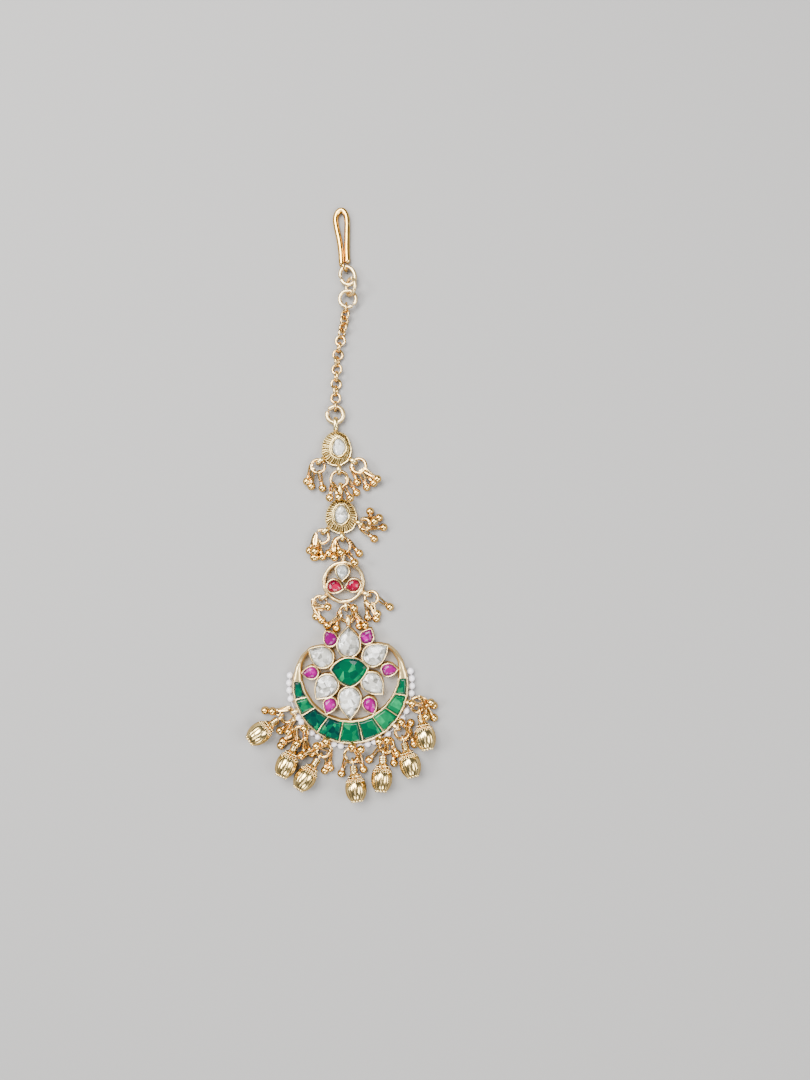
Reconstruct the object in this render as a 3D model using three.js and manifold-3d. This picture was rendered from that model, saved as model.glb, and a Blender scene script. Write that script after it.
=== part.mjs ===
// Maang tikka: a forehead ornament worn along the hair parting, lying face up. Millimetres, +Z up.
// It rests on z = 0 with the hair hook towards +Y. From the hook down come link rings, a fine chain,
// three small motifs with bead sprays, and a crescent-and-flower pendant with pearls and seven drops.

import * as THREE from 'three';
import { mergeVertices } from 'three/addons/utils/BufferGeometryUtils.js';
import Module from 'manifold-3d';

const wasm = await Module();
wasm.setup();

// Driving dimensions
const bezelWall = 0.45;
const stonePlay = 0.15; // between a stone and the walls of its pocket
const pocketFloor = 0.9; // gold under each stone
const stoneBevel = 0.45;
const linkHeight = 1.4; // of the rings and bails above the resting plane
const jumpWire = 0.74;
const bailWire = 0.6;
const bailWidth = 1.0; // across the flattened wire
const bailRadius = 1.1; // to the middle of the wire
const ballRadius = 1.05;
const bellReach = 4.1; // from the jump ring's wire to the ball's centre
const bellStem = 0.42;

const finishes = {
  paleGold: { color: 0xe6cf9a, roughness: 0.3, metalness: 1 },
  gold: { color: 0xd0a55a, roughness: 0.32, metalness: 1 },
  clearStone: { color: 0xd8d8d4, roughness: 0.12, metalness: 0.1 },
  redStone: { color: 0xb3224a, roughness: 0.15, metalness: 0 },
  pinkStone: { color: 0xc81f9c, roughness: 0.15, metalness: 0 },
  greenStone: { color: 0x0b8a55, roughness: 0.1, metalness: 0 },
  pearl: { color: 0xe9e2e6, roughness: 0.3, metalness: 0 },
};

const radians = THREE.MathUtils.degToRad;

// ---- solids ----

function solidOf(geometry) {
  geometry.deleteAttribute('normal');
  geometry.deleteAttribute('uv');
  const merged = mergeVertices(geometry, 1e-4);
  const corners = merged.index.array;
  const kept = [];
  for (let i = 0; i < corners.length; i += 3) {
    const [a, b, c] = corners.slice(i, i + 3);
    if (a !== b && b !== c && c !== a) kept.push(a, b, c);
  }
  return new wasm.Manifold(new wasm.Mesh({
    numProp: 3,
    vertProperties: Float32Array.from(merged.attributes.position.array),
    triVerts: Uint32Array.from(kept),
  }));
}

function piece(name, solid, finish) {
  const { vertProperties, triVerts } = solid.getMesh();
  const geometry = new THREE.BufferGeometry();
  geometry.setAttribute('position', new THREE.BufferAttribute(vertProperties, 3));
  geometry.setIndex(new THREE.BufferAttribute(triVerts, 1));
  geometry.computeVertexNormals();
  const mesh = new THREE.Mesh(geometry, new THREE.MeshStandardMaterial(finishes[finish]));
  mesh.name = name;
  return mesh;
}

const joined = (solids) => solids.reduce((whole, next) => whole.add(next));

// An outline pushed up from z = low to z = high, turned about Z and moved to (x, y).
function plate(shape, low, high, place = {}, divisions = 3) {
  const { x = 0, y = 0, turn = 0 } = place;
  const geometry = new THREE.ExtrudeGeometry(shape, {
    depth: high - low,
    bevelEnabled: false,
    curveSegments: divisions,
  });
  return solidOf(geometry.rotateZ(radians(turn)).translate(x, y, low));
}

// A cut stone: the outline with one facet row above and below its girdle.
function stone(shape, low, high, divisions = 3) {
  const geometry = new THREE.ExtrudeGeometry(shape, {
    depth: high - low - 2 * stoneBevel,
    bevelThickness: stoneBevel,
    bevelSize: stoneBevel,
    bevelOffset: -stoneBevel,
    bevelSegments: 1,
    curveSegments: divisions,
  });
  return solidOf(geometry.translate(0, 0, low + stoneBevel));
}

// A flat wire ring around (x, y, z); lean lifts its far side, which points along turn.
function wireRing({ x, y, z, radius, wire, stretch = 1, turn = 0, lean = 0 }, around = 12) {
  const geometry = new THREE.TorusGeometry(radius, wire / 2, 5, around);
  geometry.scale(stretch, 1, 1).rotateY(-radians(lean)).rotateZ(radians(turn));
  return solidOf(geometry.translate(x, y, z));
}

// A bail or edge loop: a small upright ring of flattened wire whose plane holds the direction turn.
function bail(x, y, turn, stretch = 1) {
  const geometry = new THREE.TorusGeometry(bailRadius, bailWire / 2, 4, 8);
  geometry.scale(stretch, 1, bailWidth / bailWire).rotateX(Math.PI / 2).rotateZ(radians(turn));
  return solidOf(geometry.translate(x, y, linkHeight));
}

function tube(points, diameter, sides, steps) {
  const route = new THREE.CatmullRomCurve3(points.map((point) => new THREE.Vector3(...point)));
  const section = new THREE.Shape();
  for (let i = 0; i < sides; i += 1) {
    const angle = (2 * Math.PI * i) / sides;
    const corner = [Math.cos(angle) * diameter / 2, Math.sin(angle) * diameter / 2];
    if (i === 0) section.moveTo(...corner);
    else section.lineTo(...corner);
  }
  return solidOf(new THREE.ExtrudeGeometry(section, { steps, extrudePath: route }));
}

// ---- outlines ----

// A pear whose point is towards +Y, centred on the middle of its length.
function pear(width, length) {
  const half = width / 2;
  const waist = Math.min(-length / 2 + half, -0.04 * length);
  const tip = length / 2;
  const rise = tip - waist;
  const shape = new THREE.Shape();
  shape.absellipse(0, waist, half, waist + tip, Math.PI, 2 * Math.PI);
  shape.bezierCurveTo(half, waist + 0.5 * rise, 0.16 * width, tip - 0.2 * rise, 0, tip);
  shape.bezierCurveTo(-0.16 * width, tip - 0.2 * rise, -half, waist + 0.5 * rise, -half, waist);
  return shape;
}

// An egg, narrower towards +Y.
function egg(width, length) {
  const shape = new THREE.Shape();
  const middle = -0.06 * length;
  shape.absellipse(0, middle, width / 2, length / 2 + middle, Math.PI, 2 * Math.PI);
  shape.bezierCurveTo(width / 2, 0.25 * length, 0.3 * width, length / 2, 0, length / 2);
  shape.bezierCurveTo(-0.3 * width, length / 2, -width / 2, 0.25 * length, -width / 2, middle);
  return shape;
}

// An eye with points left and right, a full upper edge and a shallow point below.
function eye(width, length) {
  const half = width / 2;
  const shape = new THREE.Shape();
  shape.moveTo(-half, 0.08 * length);
  shape.bezierCurveTo(-0.38 * width, -0.2 * length, -0.22 * width, -0.46 * length, 0, -0.5 * length);
  shape.bezierCurveTo(0.22 * width, -0.46 * length, 0.38 * width, -0.2 * length, half, 0.08 * length);
  shape.bezierCurveTo(0.3 * width, 0.6 * length, -0.3 * width, 0.6 * length, -half, 0.08 * length);
  return shape;
}

function disc(radius) {
  const shape = new THREE.Shape();
  shape.absarc(0, 0, radius, 0, 2 * Math.PI);
  return shape;
}

// ---- bead sprays: a jump ring through a bail, with round bead drops hooked on its wire ----

// A bead drop along +X from its hook on the wire: a doubled wire stem that ends in a ball.
function bell() {
  const profile = [
    [0, 0],
    [bellStem, 0],
    [bellStem, bellReach - 0.95 * ballRadius],
    [0.95 * ballRadius, bellReach - 0.35 * ballRadius],
    [0.9 * ballRadius, bellReach + 0.45 * ballRadius],
    [0, bellReach + ballRadius],
  ];
  const points = profile.map(([radius, along]) => new THREE.Vector2(radius, along));
  return new THREE.LatheGeometry(points, 6).rotateZ(-Math.PI / 2);
}

// The jump ring passes through a bail's hole at (x, y) and reaches from there towards turn. For each
// bell, hook is where it sits round the ring, out is where it points, both in degrees from turn, and
// height is the ball's centre above the resting plane.
function spray({ x, y, turn, radius, lean = 0, bells }) {
  const level = Math.cos(radians(lean));
  const rise = Math.sin(radians(lean));
  const middle = polar({ x, y }, radius * level, turn);
  const parts = [wireRing({ ...middle, z: linkHeight + radius * rise, radius, wire: jumpWire, turn, lean })];
  for (const { hook, out, height } of bells) {
    const along = radius * (1 + Math.cos(radians(hook)));
    const across = radius * Math.sin(radians(hook));
    const start = polar(polar({ x, y }, along * level, turn), across, turn + 90);
    const startHeight = linkHeight + along * rise;
    const dip = Math.asin((height - startHeight) / bellReach);
    const geometry = bell().rotateY(-dip).rotateZ(radians(turn + out));
    parts.push(solidOf(geometry.translate(start.x, start.y, startHeight)));
  }
  return joined(parts);
}

function polar(centre, reach, turn) {
  return {
    x: centre.x + reach * Math.cos(radians(turn)),
    y: centre.y + reach * Math.sin(radians(turn)),
  };
}

// ---- hair hook, link rings and chain ----

const hookWire = 1.45;
const hookEye = { x: 0.1, y: 61.44, turn: 125 };
const hookRoute = [
  [0.98, 63.3], [0.8, 66], [0.84, 70], [0.85, 73.8], [0.35, 75.7], [-0.65, 76.4], [-1.7, 75.6],
  [-2.13, 73.9], [-1.79, 71.6], [-1.15, 68.6], [-0.75, 65.8], [-0.62, 63.8], [-0.52, 62.35],
];

const chainWidth = 2.9;
const chainWire = 0.62;
const chainRoute = [
  [0.45, 49.95], [0.38, 49.1], [0.13, 47.4], [-0.3, 45.3], [-0.9, 42.4], [-1.5, 38.9], [-1.78, 35.3],
  [-1.98, 31.4], [-2.08, 27.8], [-2.1, 26.6],
];
const chainEnds = [{ x: 0.57, y: 50.95, turn: 80 }, { x: -2.12, y: 25.5, turn: 90 }];

const linkRings = [
  {
    name: 'hook_ring_oval', x: 1.03, y: 59.225, z: 1.524, radius: 1.85, wire: 0.96, stretch: 1.3, turn: -72.1,
    lean: 2.4,
  },
  { name: 'link_ring_upper', x: 1.858, y: 56.216, z: 2.061, radius: 2.1, wire: 0.88, lean: 54 },
  { name: 'link_ring_lower', x: 1.09, y: 53.233, z: 1.615, radius: 2.1, wire: 0.88, lean: 1.2 },
  { name: 'chain_end_ring', x: -2.16, y: 23.4, z: linkHeight, radius: 2.07, wire: 1.15 },
];

function hangingLine() {
  const group = new THREE.Group();
  const wireHeight = hookWire / 2 + 0.05;
  const bend = tube(hookRoute.map(([x, y]) => [x, y, wireHeight]), hookWire, 8, 28);
  const eyeRing = new THREE.TorusGeometry(1, 0.32, 6, 12).rotateX(Math.PI / 2);
  eyeRing.rotateZ(radians(hookEye.turn)).translate(hookEye.x, hookEye.y, linkHeight);
  group.add(piece('hair_hook', bend.add(solidOf(eyeRing)), 'gold'));
  for (const ring of linkRings) group.add(piece(ring.name, wireRing(ring, 16), 'paleGold'));

  const height = chainWidth / 2;
  const parts = [tube(chainRoute.map(([x, y]) => [x, y, height]), chainWidth, 8, 22)];
  for (const { x, y, turn } of chainEnds) {
    const link = new THREE.TorusGeometry((chainWidth - chainWire) / 2, chainWire / 2, 4, 10);
    link.rotateX(Math.PI / 2).rotateZ(radians(turn)).translate(x, y, height);
    parts.push(solidOf(link));
  }
  group.add(piece('chain', joined(parts), 'gold'));
  return group;
}

// ---- motifs ----

// Two egg-shaped settings that differ only in size and in where their loops are soldered.
const eggMotifs = [
  {
    name: 'upper_motif',
    x: -1.8, y: 14.6, width: 7.8, length: 9.05,
    bezel: { x: 0.68, y: 0.35, width: 4.3, length: 5.4 },
    bails: [{ reach: 6.25, turn: 92, stretch: 1.55 }, { reach: 5.45, turn: 277 }],
    sideBails: { left: { reach: 5.2, turn: 217 }, right: { reach: 5.3, turn: 323 } },
  },
  {
    name: 'middle_motif',
    x: -0.6, y: -2.9, width: 8.2, length: 9,
    bezel: { x: 0.08, y: 0.5, width: 4.4, length: 5.8 },
    bails: [{ reach: 6.65, turn: 92, stretch: 1.75 }, { reach: 5.2, turn: 273 }],
    sideBails: { left: { reach: 5.5, turn: 222 }, right: { reach: 5, turn: 340 } },
  },
];
const rimHeight = 1.7;
const bandHeight = 2.4;
const eggBezelHeight = 3.1;

function eggSetting(motif) {
  const { width, length, bezel } = motif;
  const parts = [
    plate(egg(width, length), 0, rimHeight),
    plate(egg(width - 1.6, length - 1.6), rimHeight - 0.2, bandHeight),
    plate(pear(bezel.width, bezel.length), rimHeight, eggBezelHeight, bezel),
  ];
  for (const { reach, turn, stretch } of motif.bails) {
    const { x, y } = polar({ x: 0, y: 0 }, reach, turn);
    parts.push(bail(x, y, 90, stretch));
  }
  for (const { reach, turn } of Object.values(motif.sideBails)) {
    const { x, y } = polar({ x: 0, y: 0 }, reach, turn);
    parts.push(bail(x, y, turn));
  }
  const inner = pear(bezel.width - 2 * bezelWall, bezel.length - 2.3 * bezelWall);
  return joined(parts).subtract(plate(inner, pocketFloor, eggBezelHeight + 1, bezel));
}

function pearStone(name, place, bezelTop, finish) {
  const width = place.width - 2 * (bezelWall + stonePlay);
  const length = place.length - 2.3 * (bezelWall + stonePlay);
  const mesh = piece(name, stone(pear(width, length), pocketFloor + 0.3, bezelTop + 0.4), finish);
  mesh.position.set(place.x, place.y, 0);
  mesh.rotation.z = radians(place.turn ?? 0);
  return mesh;
}

function eggMotif(motif) {
  const group = new THREE.Group();
  group.position.set(motif.x, motif.y, 0);
  group.add(piece(`${motif.name}_setting`, eggSetting(motif), 'paleGold'));
  group.add(pearStone(`${motif.name}_stone`, motif.bezel, eggBezelHeight, 'clearStone'));
  return group;
}

const roundMotif = { x: 0, y: -19.84, radius: 5.5, wall: 0.95, height: 2.3 };
const roundBezelHeight = 2.7;
const roundBezels = [
  { name: 'clear_stone', x: -0.25, y: 2.5, width: 4, length: 4.9, turn: 180, finish: 'clearStone' },
  { name: 'red_stone_left', x: -2.1, y: -1.15, width: 4, length: 4.9, turn: 253, finish: 'redStone' },
  { name: 'red_stone_right', x: 2.4, y: -0.87, width: 3.9, length: 4.6, turn: 108, finish: 'redStone' },
];
const roundBails = [
  { reach: 6.75, turn: 91, stretch: 1.35 },
  { reach: 6.25, turn: 276 },
  { reach: 6.5, turn: 217 },
  { reach: 6.6, turn: 333 },
];

function roundMotifGroup() {
  const group = new THREE.Group();
  group.position.set(roundMotif.x, roundMotif.y, 0);
  const { radius, wall, height } = roundMotif;
  const hole = plate(disc(radius - wall), -1, height + 1, {}, 16);
  const parts = [plate(disc(radius), 0, height, {}, 16).subtract(hole)];
  const pockets = [];
  for (const bezel of roundBezels) {
    const inner = pear(bezel.width - 2 * bezelWall, bezel.length - 2.3 * bezelWall);
    parts.push(plate(pear(bezel.width, bezel.length), 0, roundBezelHeight, bezel));
    pockets.push(plate(inner, pocketFloor, roundBezelHeight + 1, bezel));
  }
  for (const { reach, turn, stretch } of roundBails) {
    const { x, y } = polar({ x: 0, y: 0 }, reach, turn);
    parts.push(bail(x, y, stretch ? 90 : turn, stretch));
  }
  const frame = joined(parts).subtract(joined(pockets));
  group.add(piece('round_motif_frame', frame, 'paleGold'));
  for (const bezel of roundBezels) {
    group.add(pearStone(`round_motif_${bezel.name}`, bezel, roundBezelHeight, bezel.finish));
  }
  return group;
}

// ---- pendant ----

const pendant = { x: 1.79, y: -46.48, turn: 2, radius: 14.9 };
const crescent = {
  innerRadius: 12.5, offset: 3.6, height: 2.6, outerWall: 0.45, innerWall: 0.48, barHalf: 0.85,
  hornEnd: 44, hornInner: 13.7, hornDrop: 0.5, steps: 64,
};
const crescentJoints = [172.5, 192.3, 209.7, 232.5, 256.7, 280.8, 303.7, 325.8, 348.2, 367.2];
const flower = { x: 0, y: 3.77 };
const petalHeight = 3;
const centreBezel = { width: 10.3, length: 8.2, height: 3.4 };

const clearPetals = [
  { name: 'clear_petal_1', reach: 7.6, at: 90, point: 90, width: 6.5, length: 8.5 },
  { name: 'clear_petal_2', reach: 8.52, at: 150.1, point: 148, width: 6, length: 7.5 },
  { name: 'clear_petal_3', reach: 7.56, at: 211.6, point: 228, width: 6.2, length: 8 },
  { name: 'clear_petal_4', reach: 8.15, at: 267.9, point: 269, width: 6.3, length: 9 },
  { name: 'clear_petal_5', reach: 6.96, at: 329.7, point: 311, width: 5.8, length: 7.4 },
  { name: 'clear_petal_6', reach: 8.16, at: 32.2, point: 32, width: 6, length: 8 },
];
const pinkPetals = [
  { name: 'pink_petal_1', reach: 9.96, at: 118.9, point: 119, width: 4, length: 4.9 },
  { name: 'pink_petal_2', reach: 10.2, at: 179.9, point: 181, width: 3.8, length: 4.8 },
  { name: 'pink_petal_3', reach: 10.26, at: 237.7, point: 246, width: 3.9, length: 5 },
  { name: 'pink_petal_4', reach: 10.25, at: 298.9, point: 291, width: 4, length: 5.1 },
  { name: 'pink_petal_5', reach: 10.25, at: 0.4, point: 0, width: 3.8, length: 4.8 },
  { name: 'pink_petal_6', reach: 10.14, at: 61.6, point: 61, width: 4, length: 4.8 },
];
const petals = [
  ...clearPetals.map((petal) => ({ ...petal, finish: 'clearStone' })),
  ...pinkPetals.map((petal) => ({ ...petal, finish: 'pinkStone' })),
].map((petal) => ({ ...petal, ...polar(flower, petal.reach, petal.at), turn: petal.point - 90 }));

const edgeReach = 15.85; // of the edge loops' holes
const edgeLoops = [203, 222, 245, 269, 298, 316, 342];
const pendantBail = { x: 0, y: 16.6, stretch: 1.3 };

// The band between the outer and inner circles, from joint a to joint b, set back by inset all round.
function crescentCell(a, b, inset) {
  const outer = pendant.radius - crescent.outerWall - inset;
  const inner = crescent.innerRadius + crescent.innerWall + inset;
  const trim = radians(crescent.barHalf) + inset / 12;
  const start = radians(a) + trim;
  const end = radians(b) - trim;
  const innerAngle = (angle) => {
    const cosine = crescent.offset * Math.cos(angle);
    const reach = crescent.offset * Math.sin(angle) + Math.sqrt(inner ** 2 - cosine ** 2);
    return Math.atan2(reach * Math.sin(angle) - crescent.offset, reach * Math.cos(angle));
  };
  const shape = new THREE.Shape();
  shape.absarc(0, 0, outer, start, end, false);
  shape.absarc(0, crescent.offset, inner, innerAngle(end), innerAngle(start), true);
  return shape;
}

// The crescent's outline. Its horns keep some width and bend inwards at their ends, onto a petal's tip.
function crescentBand() {
  const { innerRadius, offset, hornEnd, hornInner, hornDrop, steps } = crescent;
  const outer = [];
  const inner = [];
  for (let i = 0; i <= steps; i += 1) {
    const turn = 180 - hornEnd + (i * (180 + 2 * hornEnd)) / steps;
    const above = Math.max(0, Math.max(180 - turn, turn - 360) / hornEnd - 0.62) / 0.38;
    const cosine = offset * Math.cos(radians(turn));
    const reach = offset * Math.sin(radians(turn)) + Math.sqrt(innerRadius ** 2 - cosine ** 2);
    outer.push(polar({ x: 0, y: 0 }, pendant.radius - hornDrop * above ** 2, turn));
    inner.unshift(polar({ x: 0, y: 0 }, Math.min(reach, hornInner), turn));
  }
  return new THREE.Shape([...outer, ...inner].map(({ x, y }) => new THREE.Vector2(x, y)));
}

function pendantFrame() {
  const parts = [plate(crescentBand(), 0, crescent.height, {}, 32)];
  const pockets = [];
  for (let i = 1; i < crescentJoints.length; i += 1) {
    const cell = crescentCell(crescentJoints[i - 1], crescentJoints[i], 0);
    pockets.push(plate(cell, pocketFloor, crescent.height + 1, {}, 1));
  }
  for (const petal of petals) {
    const inner = pear(petal.width - 2 * bezelWall, petal.length - 2.3 * bezelWall);
    parts.push(plate(pear(petal.width, petal.length), 0, petalHeight, petal));
    pockets.push(plate(inner, pocketFloor, petalHeight + 1, petal));
  }
  const { width, length, height } = centreBezel;
  parts.push(plate(eye(width, length), 0, height, flower, 4));
  const centrePocket = eye(width - 3 * bezelWall, length - 2 * bezelWall);
  pockets.push(plate(centrePocket, pocketFloor, height + 1, flower, 4));
  for (const turn of edgeLoops) {
    const { x, y } = polar({ x: 0, y: 0 }, edgeReach, turn);
    parts.push(bail(x, y, turn));
  }
  parts.push(bail(pendantBail.x, pendantBail.y, 90, pendantBail.stretch));
  return joined(parts).subtract(joined(pockets));
}

function pendantGroup() {
  const group = new THREE.Group();
  group.position.set(pendant.x, pendant.y, 0);
  group.rotation.z = radians(pendant.turn);
  group.add(piece('pendant_frame', pendantFrame(), 'paleGold'));
  for (const petal of petals) group.add(pearStone(petal.name, petal, petalHeight, petal.finish));

  const widthInside = centreBezel.width - 3 * (bezelWall + stonePlay);
  const lengthInside = centreBezel.length - 2 * (bezelWall + stonePlay);
  const centre = stone(eye(widthInside, lengthInside), pocketFloor + 0.3, centreBezel.height + 0.5, 4);
  const centreStone = piece('centre_stone', centre, 'greenStone');
  centreStone.position.set(flower.x, flower.y, 0);
  group.add(centreStone);

  for (let i = 1; i < crescentJoints.length; i += 1) {
    const cell = crescentCell(crescentJoints[i - 1], crescentJoints[i], stonePlay);
    const cut = stone(cell, pocketFloor + 0.3, crescent.height + 0.3, 1);
    group.add(piece(`crescent_stone_${i}`, cut, 'greenStone'));
  }
  return group;
}

// ---- pearls along the pendant's edge ----

const pearlRadius = 0.85;
const pearlHeight = 0.9;
const pearlWire = 0.22;
const pearlTurns = [
  169, 176, 183, 191, 210, 215, 229, 236, 252, 259, 276, 284, 291, 305, 325, 333, 350, 357, 4, 11,
];
const pearlSpan = { from: 166, to: 374, steps: 16 };

function pearlString() {
  const reach = pendant.radius + pearlRadius + 0.15;
  const { from, to, steps } = pearlSpan;
  const route = [];
  for (let i = 0; i <= steps; i += 1) {
    const { x, y } = polar({ x: 0, y: 0 }, reach, from + (i * (to - from)) / steps);
    route.push([x, y, pearlHeight]);
  }
  const parts = [tube(route, pearlWire, 4, 2 * steps)];
  for (const turn of pearlTurns) {
    const { x, y } = polar({ x: 0, y: 0 }, reach, turn);
    parts.push(solidOf(new THREE.SphereGeometry(pearlRadius, 6, 4).translate(x, y, pearlHeight)));
  }
  const mesh = piece('pearl_string', joined(parts), 'pearl');
  mesh.position.set(pendant.x, pendant.y, 0);
  mesh.rotation.z = radians(pendant.turn);
  return mesh;
}

// ---- fluted drops ----

const drop = { reach: 6.9, radius: 2.85, halfLength: 3.2, lobes: 14, stem: 0.9, groove: 0.92 };

// A fluted melon on a ringed stem, along +X from the hole of its eye.
function flutedDrop() {
  const { reach, radius, halfLength, lobes, stem, groove } = drop;
  const start = reach - halfLength;
  const profile = [
    [0, 0.85],
    [stem, 0.85],
    [stem, start - 0.9],
    [1.45, start - 0.3],
    [0.84 * radius, start + 1.1],
    [radius, reach - 0.2],
    [0.78 * radius, reach + 0.6 * halfLength],
    [0, reach + halfLength],
  ];
  const body = new THREE.LatheGeometry(profile.map((row) => new THREE.Vector2(...row)), 2 * lobes);
  const position = body.attributes.position;
  for (let i = 0; i < position.count; i += 1) {
    const turn = Math.atan2(position.getX(i), position.getZ(i));
    const inGroove = Math.cos(lobes * turn) < 0;
    if (inGroove && position.getY(i) > start + 0.5) {
      position.setX(i, position.getX(i) * groove);
      position.setZ(i, position.getZ(i) * groove);
    }
  }
  body.rotateZ(-Math.PI / 2);
  const hanger = new THREE.TorusGeometry(0.95, bailWire / 2, 4, 8).rotateX(Math.PI / 2);
  return solidOf(body).add(solidOf(hanger));
}

// Each row hangs one drop from the jump ring of a bead spray. In degrees in the whole's frame: toward
// is where the ring points from its edge loop, hook is where the drop sits round the ring, and axis is
// where the drop points. Sprays with the same name are tangled, so they are one solid.
const hangers = [
  { spray: 'drop_spray_a', toward: 210, hook: 196, axis: 216 },
  { spray: 'drop_spray_b', toward: 224, hook: 246, axis: 246 },
  { spray: 'drop_spray_b', toward: 247, hook: 241, axis: 236 },
  { spray: 'drop_spray_c', toward: 271, hook: 278, axis: 278 },
  { spray: 'drop_spray_d', toward: 305, hook: 247, axis: 267 },
  { spray: 'drop_spray_e', toward: 318, hook: 276, axis: 286 },
  { spray: 'drop_spray_f', toward: 344, hook: 287, axis: 282 },
];
const hangerRadius = 1.87;
const ringGrip = 0.33; // from the middle of an edge loop to the jump ring's wire

const hangerBells = [
  [{ hook: 318, out: 318, height: 1.1 }, { hook: 234, out: 339, height: 2.2 },
    { hook: 100, out: 9, height: 1.05 }, { hook: 140, out: 38, height: 3 }],
  [{ hook: 286, out: 1, height: 1.05 }, { hook: 348, out: 347, height: 1.05 },
    { hook: 90, out: 39, height: 1.05 }, { hook: 92, out: 227, height: 3.9 },
    { hook: 264, out: 56, height: 3.6 }, { hook: 76, out: 77, height: 1.05 }],
  [{ hook: 291, out: 312, height: 2.7 }, { hook: 112, out: 271, height: 3.2 },
    { hook: 62, out: 12, height: 1.05 }, { hook: 92, out: 23, height: 1.05 },
    { hook: 276, out: 151, height: 3.6 }],
  [{ hook: 296, out: 344, height: 1.05 }, { hook: 40, out: 159, height: 3.3 },
    { hook: 96, out: 15, height: 1.05 }, { hook: 80, out: 207, height: 3.6 }],
  [{ hook: 254, out: 285, height: 1.05 }, { hook: 40, out: 329, height: 1.05 },
    { hook: 92, out: 226, height: 3.9 }, { hook: 324, out: 140, height: 3.2 },
    { hook: 108, out: 350, height: 1.05 }],
  [{ hook: 64, out: 330, height: 1.05 }, { hook: 44, out: 169, height: 3.3 },
    { hook: 344, out: 116, height: 1.1 }],
  [{ hook: 86, out: 346, height: 1.05 }, { hook: 12, out: 321, height: 1.05 },
    { hook: 302, out: 58, height: 2.8 }, { hook: 44, out: 293, height: 3.4 },
    { hook: 12, out: 182, height: 3.6 }],
];

function pendantHangers() {
  const group = new THREE.Group();
  const sprays = {};
  hangers.forEach((hanger, i) => {
    const { toward, hook, axis } = hanger;
    const grip = polar(pendant, edgeReach + ringGrip, edgeLoops[i] + pendant.turn);
    const eyePlace = polar(polar(grip, hangerRadius, toward), hangerRadius, hook);
    const dropMesh = piece(`fluted_drop_${i + 1}`, flutedDrop(), 'paleGold');
    dropMesh.position.set(eyePlace.x, eyePlace.y, linkHeight);
    dropMesh.rotation.order = 'ZYX';
    dropMesh.rotation.z = radians(axis);
    dropMesh.rotation.y = -Math.asin((drop.radius - linkHeight) / drop.reach);
    group.add(dropMesh);
    const layout = { ...grip, turn: toward, radius: hangerRadius, bells: hangerBells[i] };
    sprays[hanger.spray] = [...(sprays[hanger.spray] ?? []), spray(layout)];
  });
  for (const [name, solids] of Object.entries(sprays)) group.add(piece(name, joined(solids), 'gold'));
  return group;
}

// ---- sprays of the three motifs ----

const motifSprays = [
  {
    name: 'upper_spray_left', x: -6.13, y: 11.7, turn: 255, radius: 1.75, lean: 12,
    bells: [{ hook: 285, out: 358, height: 1.05 }, { hook: 326, out: 8, height: 1.2 },
      { hook: 28, out: 25, height: 1.05 }],
  },
  {
    name: 'upper_spray_right', x: 2.51, y: 11.35, turn: 320, radius: 1.85, lean: 8,
    bells: [{ hook: 230, out: 330, height: 1.05 }, { hook: 330, out: 331, height: 1.05 },
      { hook: 352, out: 351, height: 1.1 }, { hook: 4, out: 5, height: 2.2 }],
  },
  {
    name: 'upper_spray_centre', x: -1.13, y: 8.85, turn: 270, radius: 2.15,
    bells: [{ hook: 306, out: 351, height: 3.3 }, { hook: 320, out: 25, height: 3.7 },
      { hook: 32, out: 31, height: 3.4 }, { hook: 90, out: 34, height: 1.05 }],
  },
  {
    name: 'middle_spray_left', x: -4.69, y: -6.58, turn: 240, radius: 1.75, lean: 6,
    bells: [{ hook: 294, out: 8, height: 1.05 }, { hook: 292, out: 30, height: 2.6 },
      { hook: 348, out: 22, height: 1.05 }, { hook: 350, out: 47, height: 1.1 },
      { hook: 8, out: 8, height: 1.05 }],
  },
  {
    name: 'middle_spray_right', x: 4.13, y: -4.67, turn: 350, radius: 1.4, lean: 14,
    bells: [{ hook: 344, out: 98, height: 1.05 }, { hook: 116, out: 15, height: 1.05 },
      { hook: 320, out: 14, height: 1.05 }, { hook: 248, out: 331, height: 1.05 },
      { hook: 248, out: 41, height: 3.2 }],
  },
  {
    name: 'middle_spray_centre', x: -0.49, y: -8.25, turn: 270, radius: 2.2,
    bells: [{ hook: 220, out: 332, height: 1.3 }, { hook: 238, out: 33, height: 3.6 },
      { hook: 122, out: 40, height: 1.05 }, { hook: 40, out: 39, height: 3.8 },
      { hook: 242, out: 2, height: 2.2 }],
  },
  {
    name: 'round_spray_left', x: -5.19, y: -23.69, turn: 240, radius: 1.75, lean: 6,
    bells: [{ hook: 325, out: 118, height: 3.4 }, { hook: 284, out: 38, height: 1.05 },
      { hook: 332, out: 57, height: 1.05 }],
  },
  {
    name: 'round_spray_right', x: 5.95, y: -22.85, turn: 320, radius: 1.75, lean: 20,
    bells: [{ hook: 36, out: 3, height: 1.05 }, { hook: 264, out: 353, height: 1.1 },
      { hook: 320, out: 325, height: 1.05 }, { hook: 256, out: 316, height: 1.05 }],
  },
  {
    name: 'round_spray_centre', x: 0.81, y: -25.82, turn: 275, radius: 2.1,
    bells: [{ hook: 25, out: 162, height: 3.6 }, { hook: 282, out: 303, height: 1.05 },
      { hook: 260, out: 343, height: 1.05 }, { hook: 104, out: 10, height: 1.05 },
      { hook: 90, out: 33, height: 2.4 }],
  },
];

// ---- the whole ornament, centred over its resting area ----

const ornament = new THREE.Group();
ornament.add(hangingLine());
for (const motif of eggMotifs) ornament.add(eggMotif(motif));
ornament.add(roundMotifGroup());
for (const layout of motifSprays) ornament.add(piece(layout.name, spray(layout), 'gold'));
ornament.add(pendantGroup());
ornament.add(pearlString());
ornament.add(pendantHangers());

const extent = new THREE.Box3().setFromObject(ornament, true);
const middle = extent.getCenter(new THREE.Vector3());
ornament.position.set(-middle.x, -middle.y, -extent.min.z);

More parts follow.
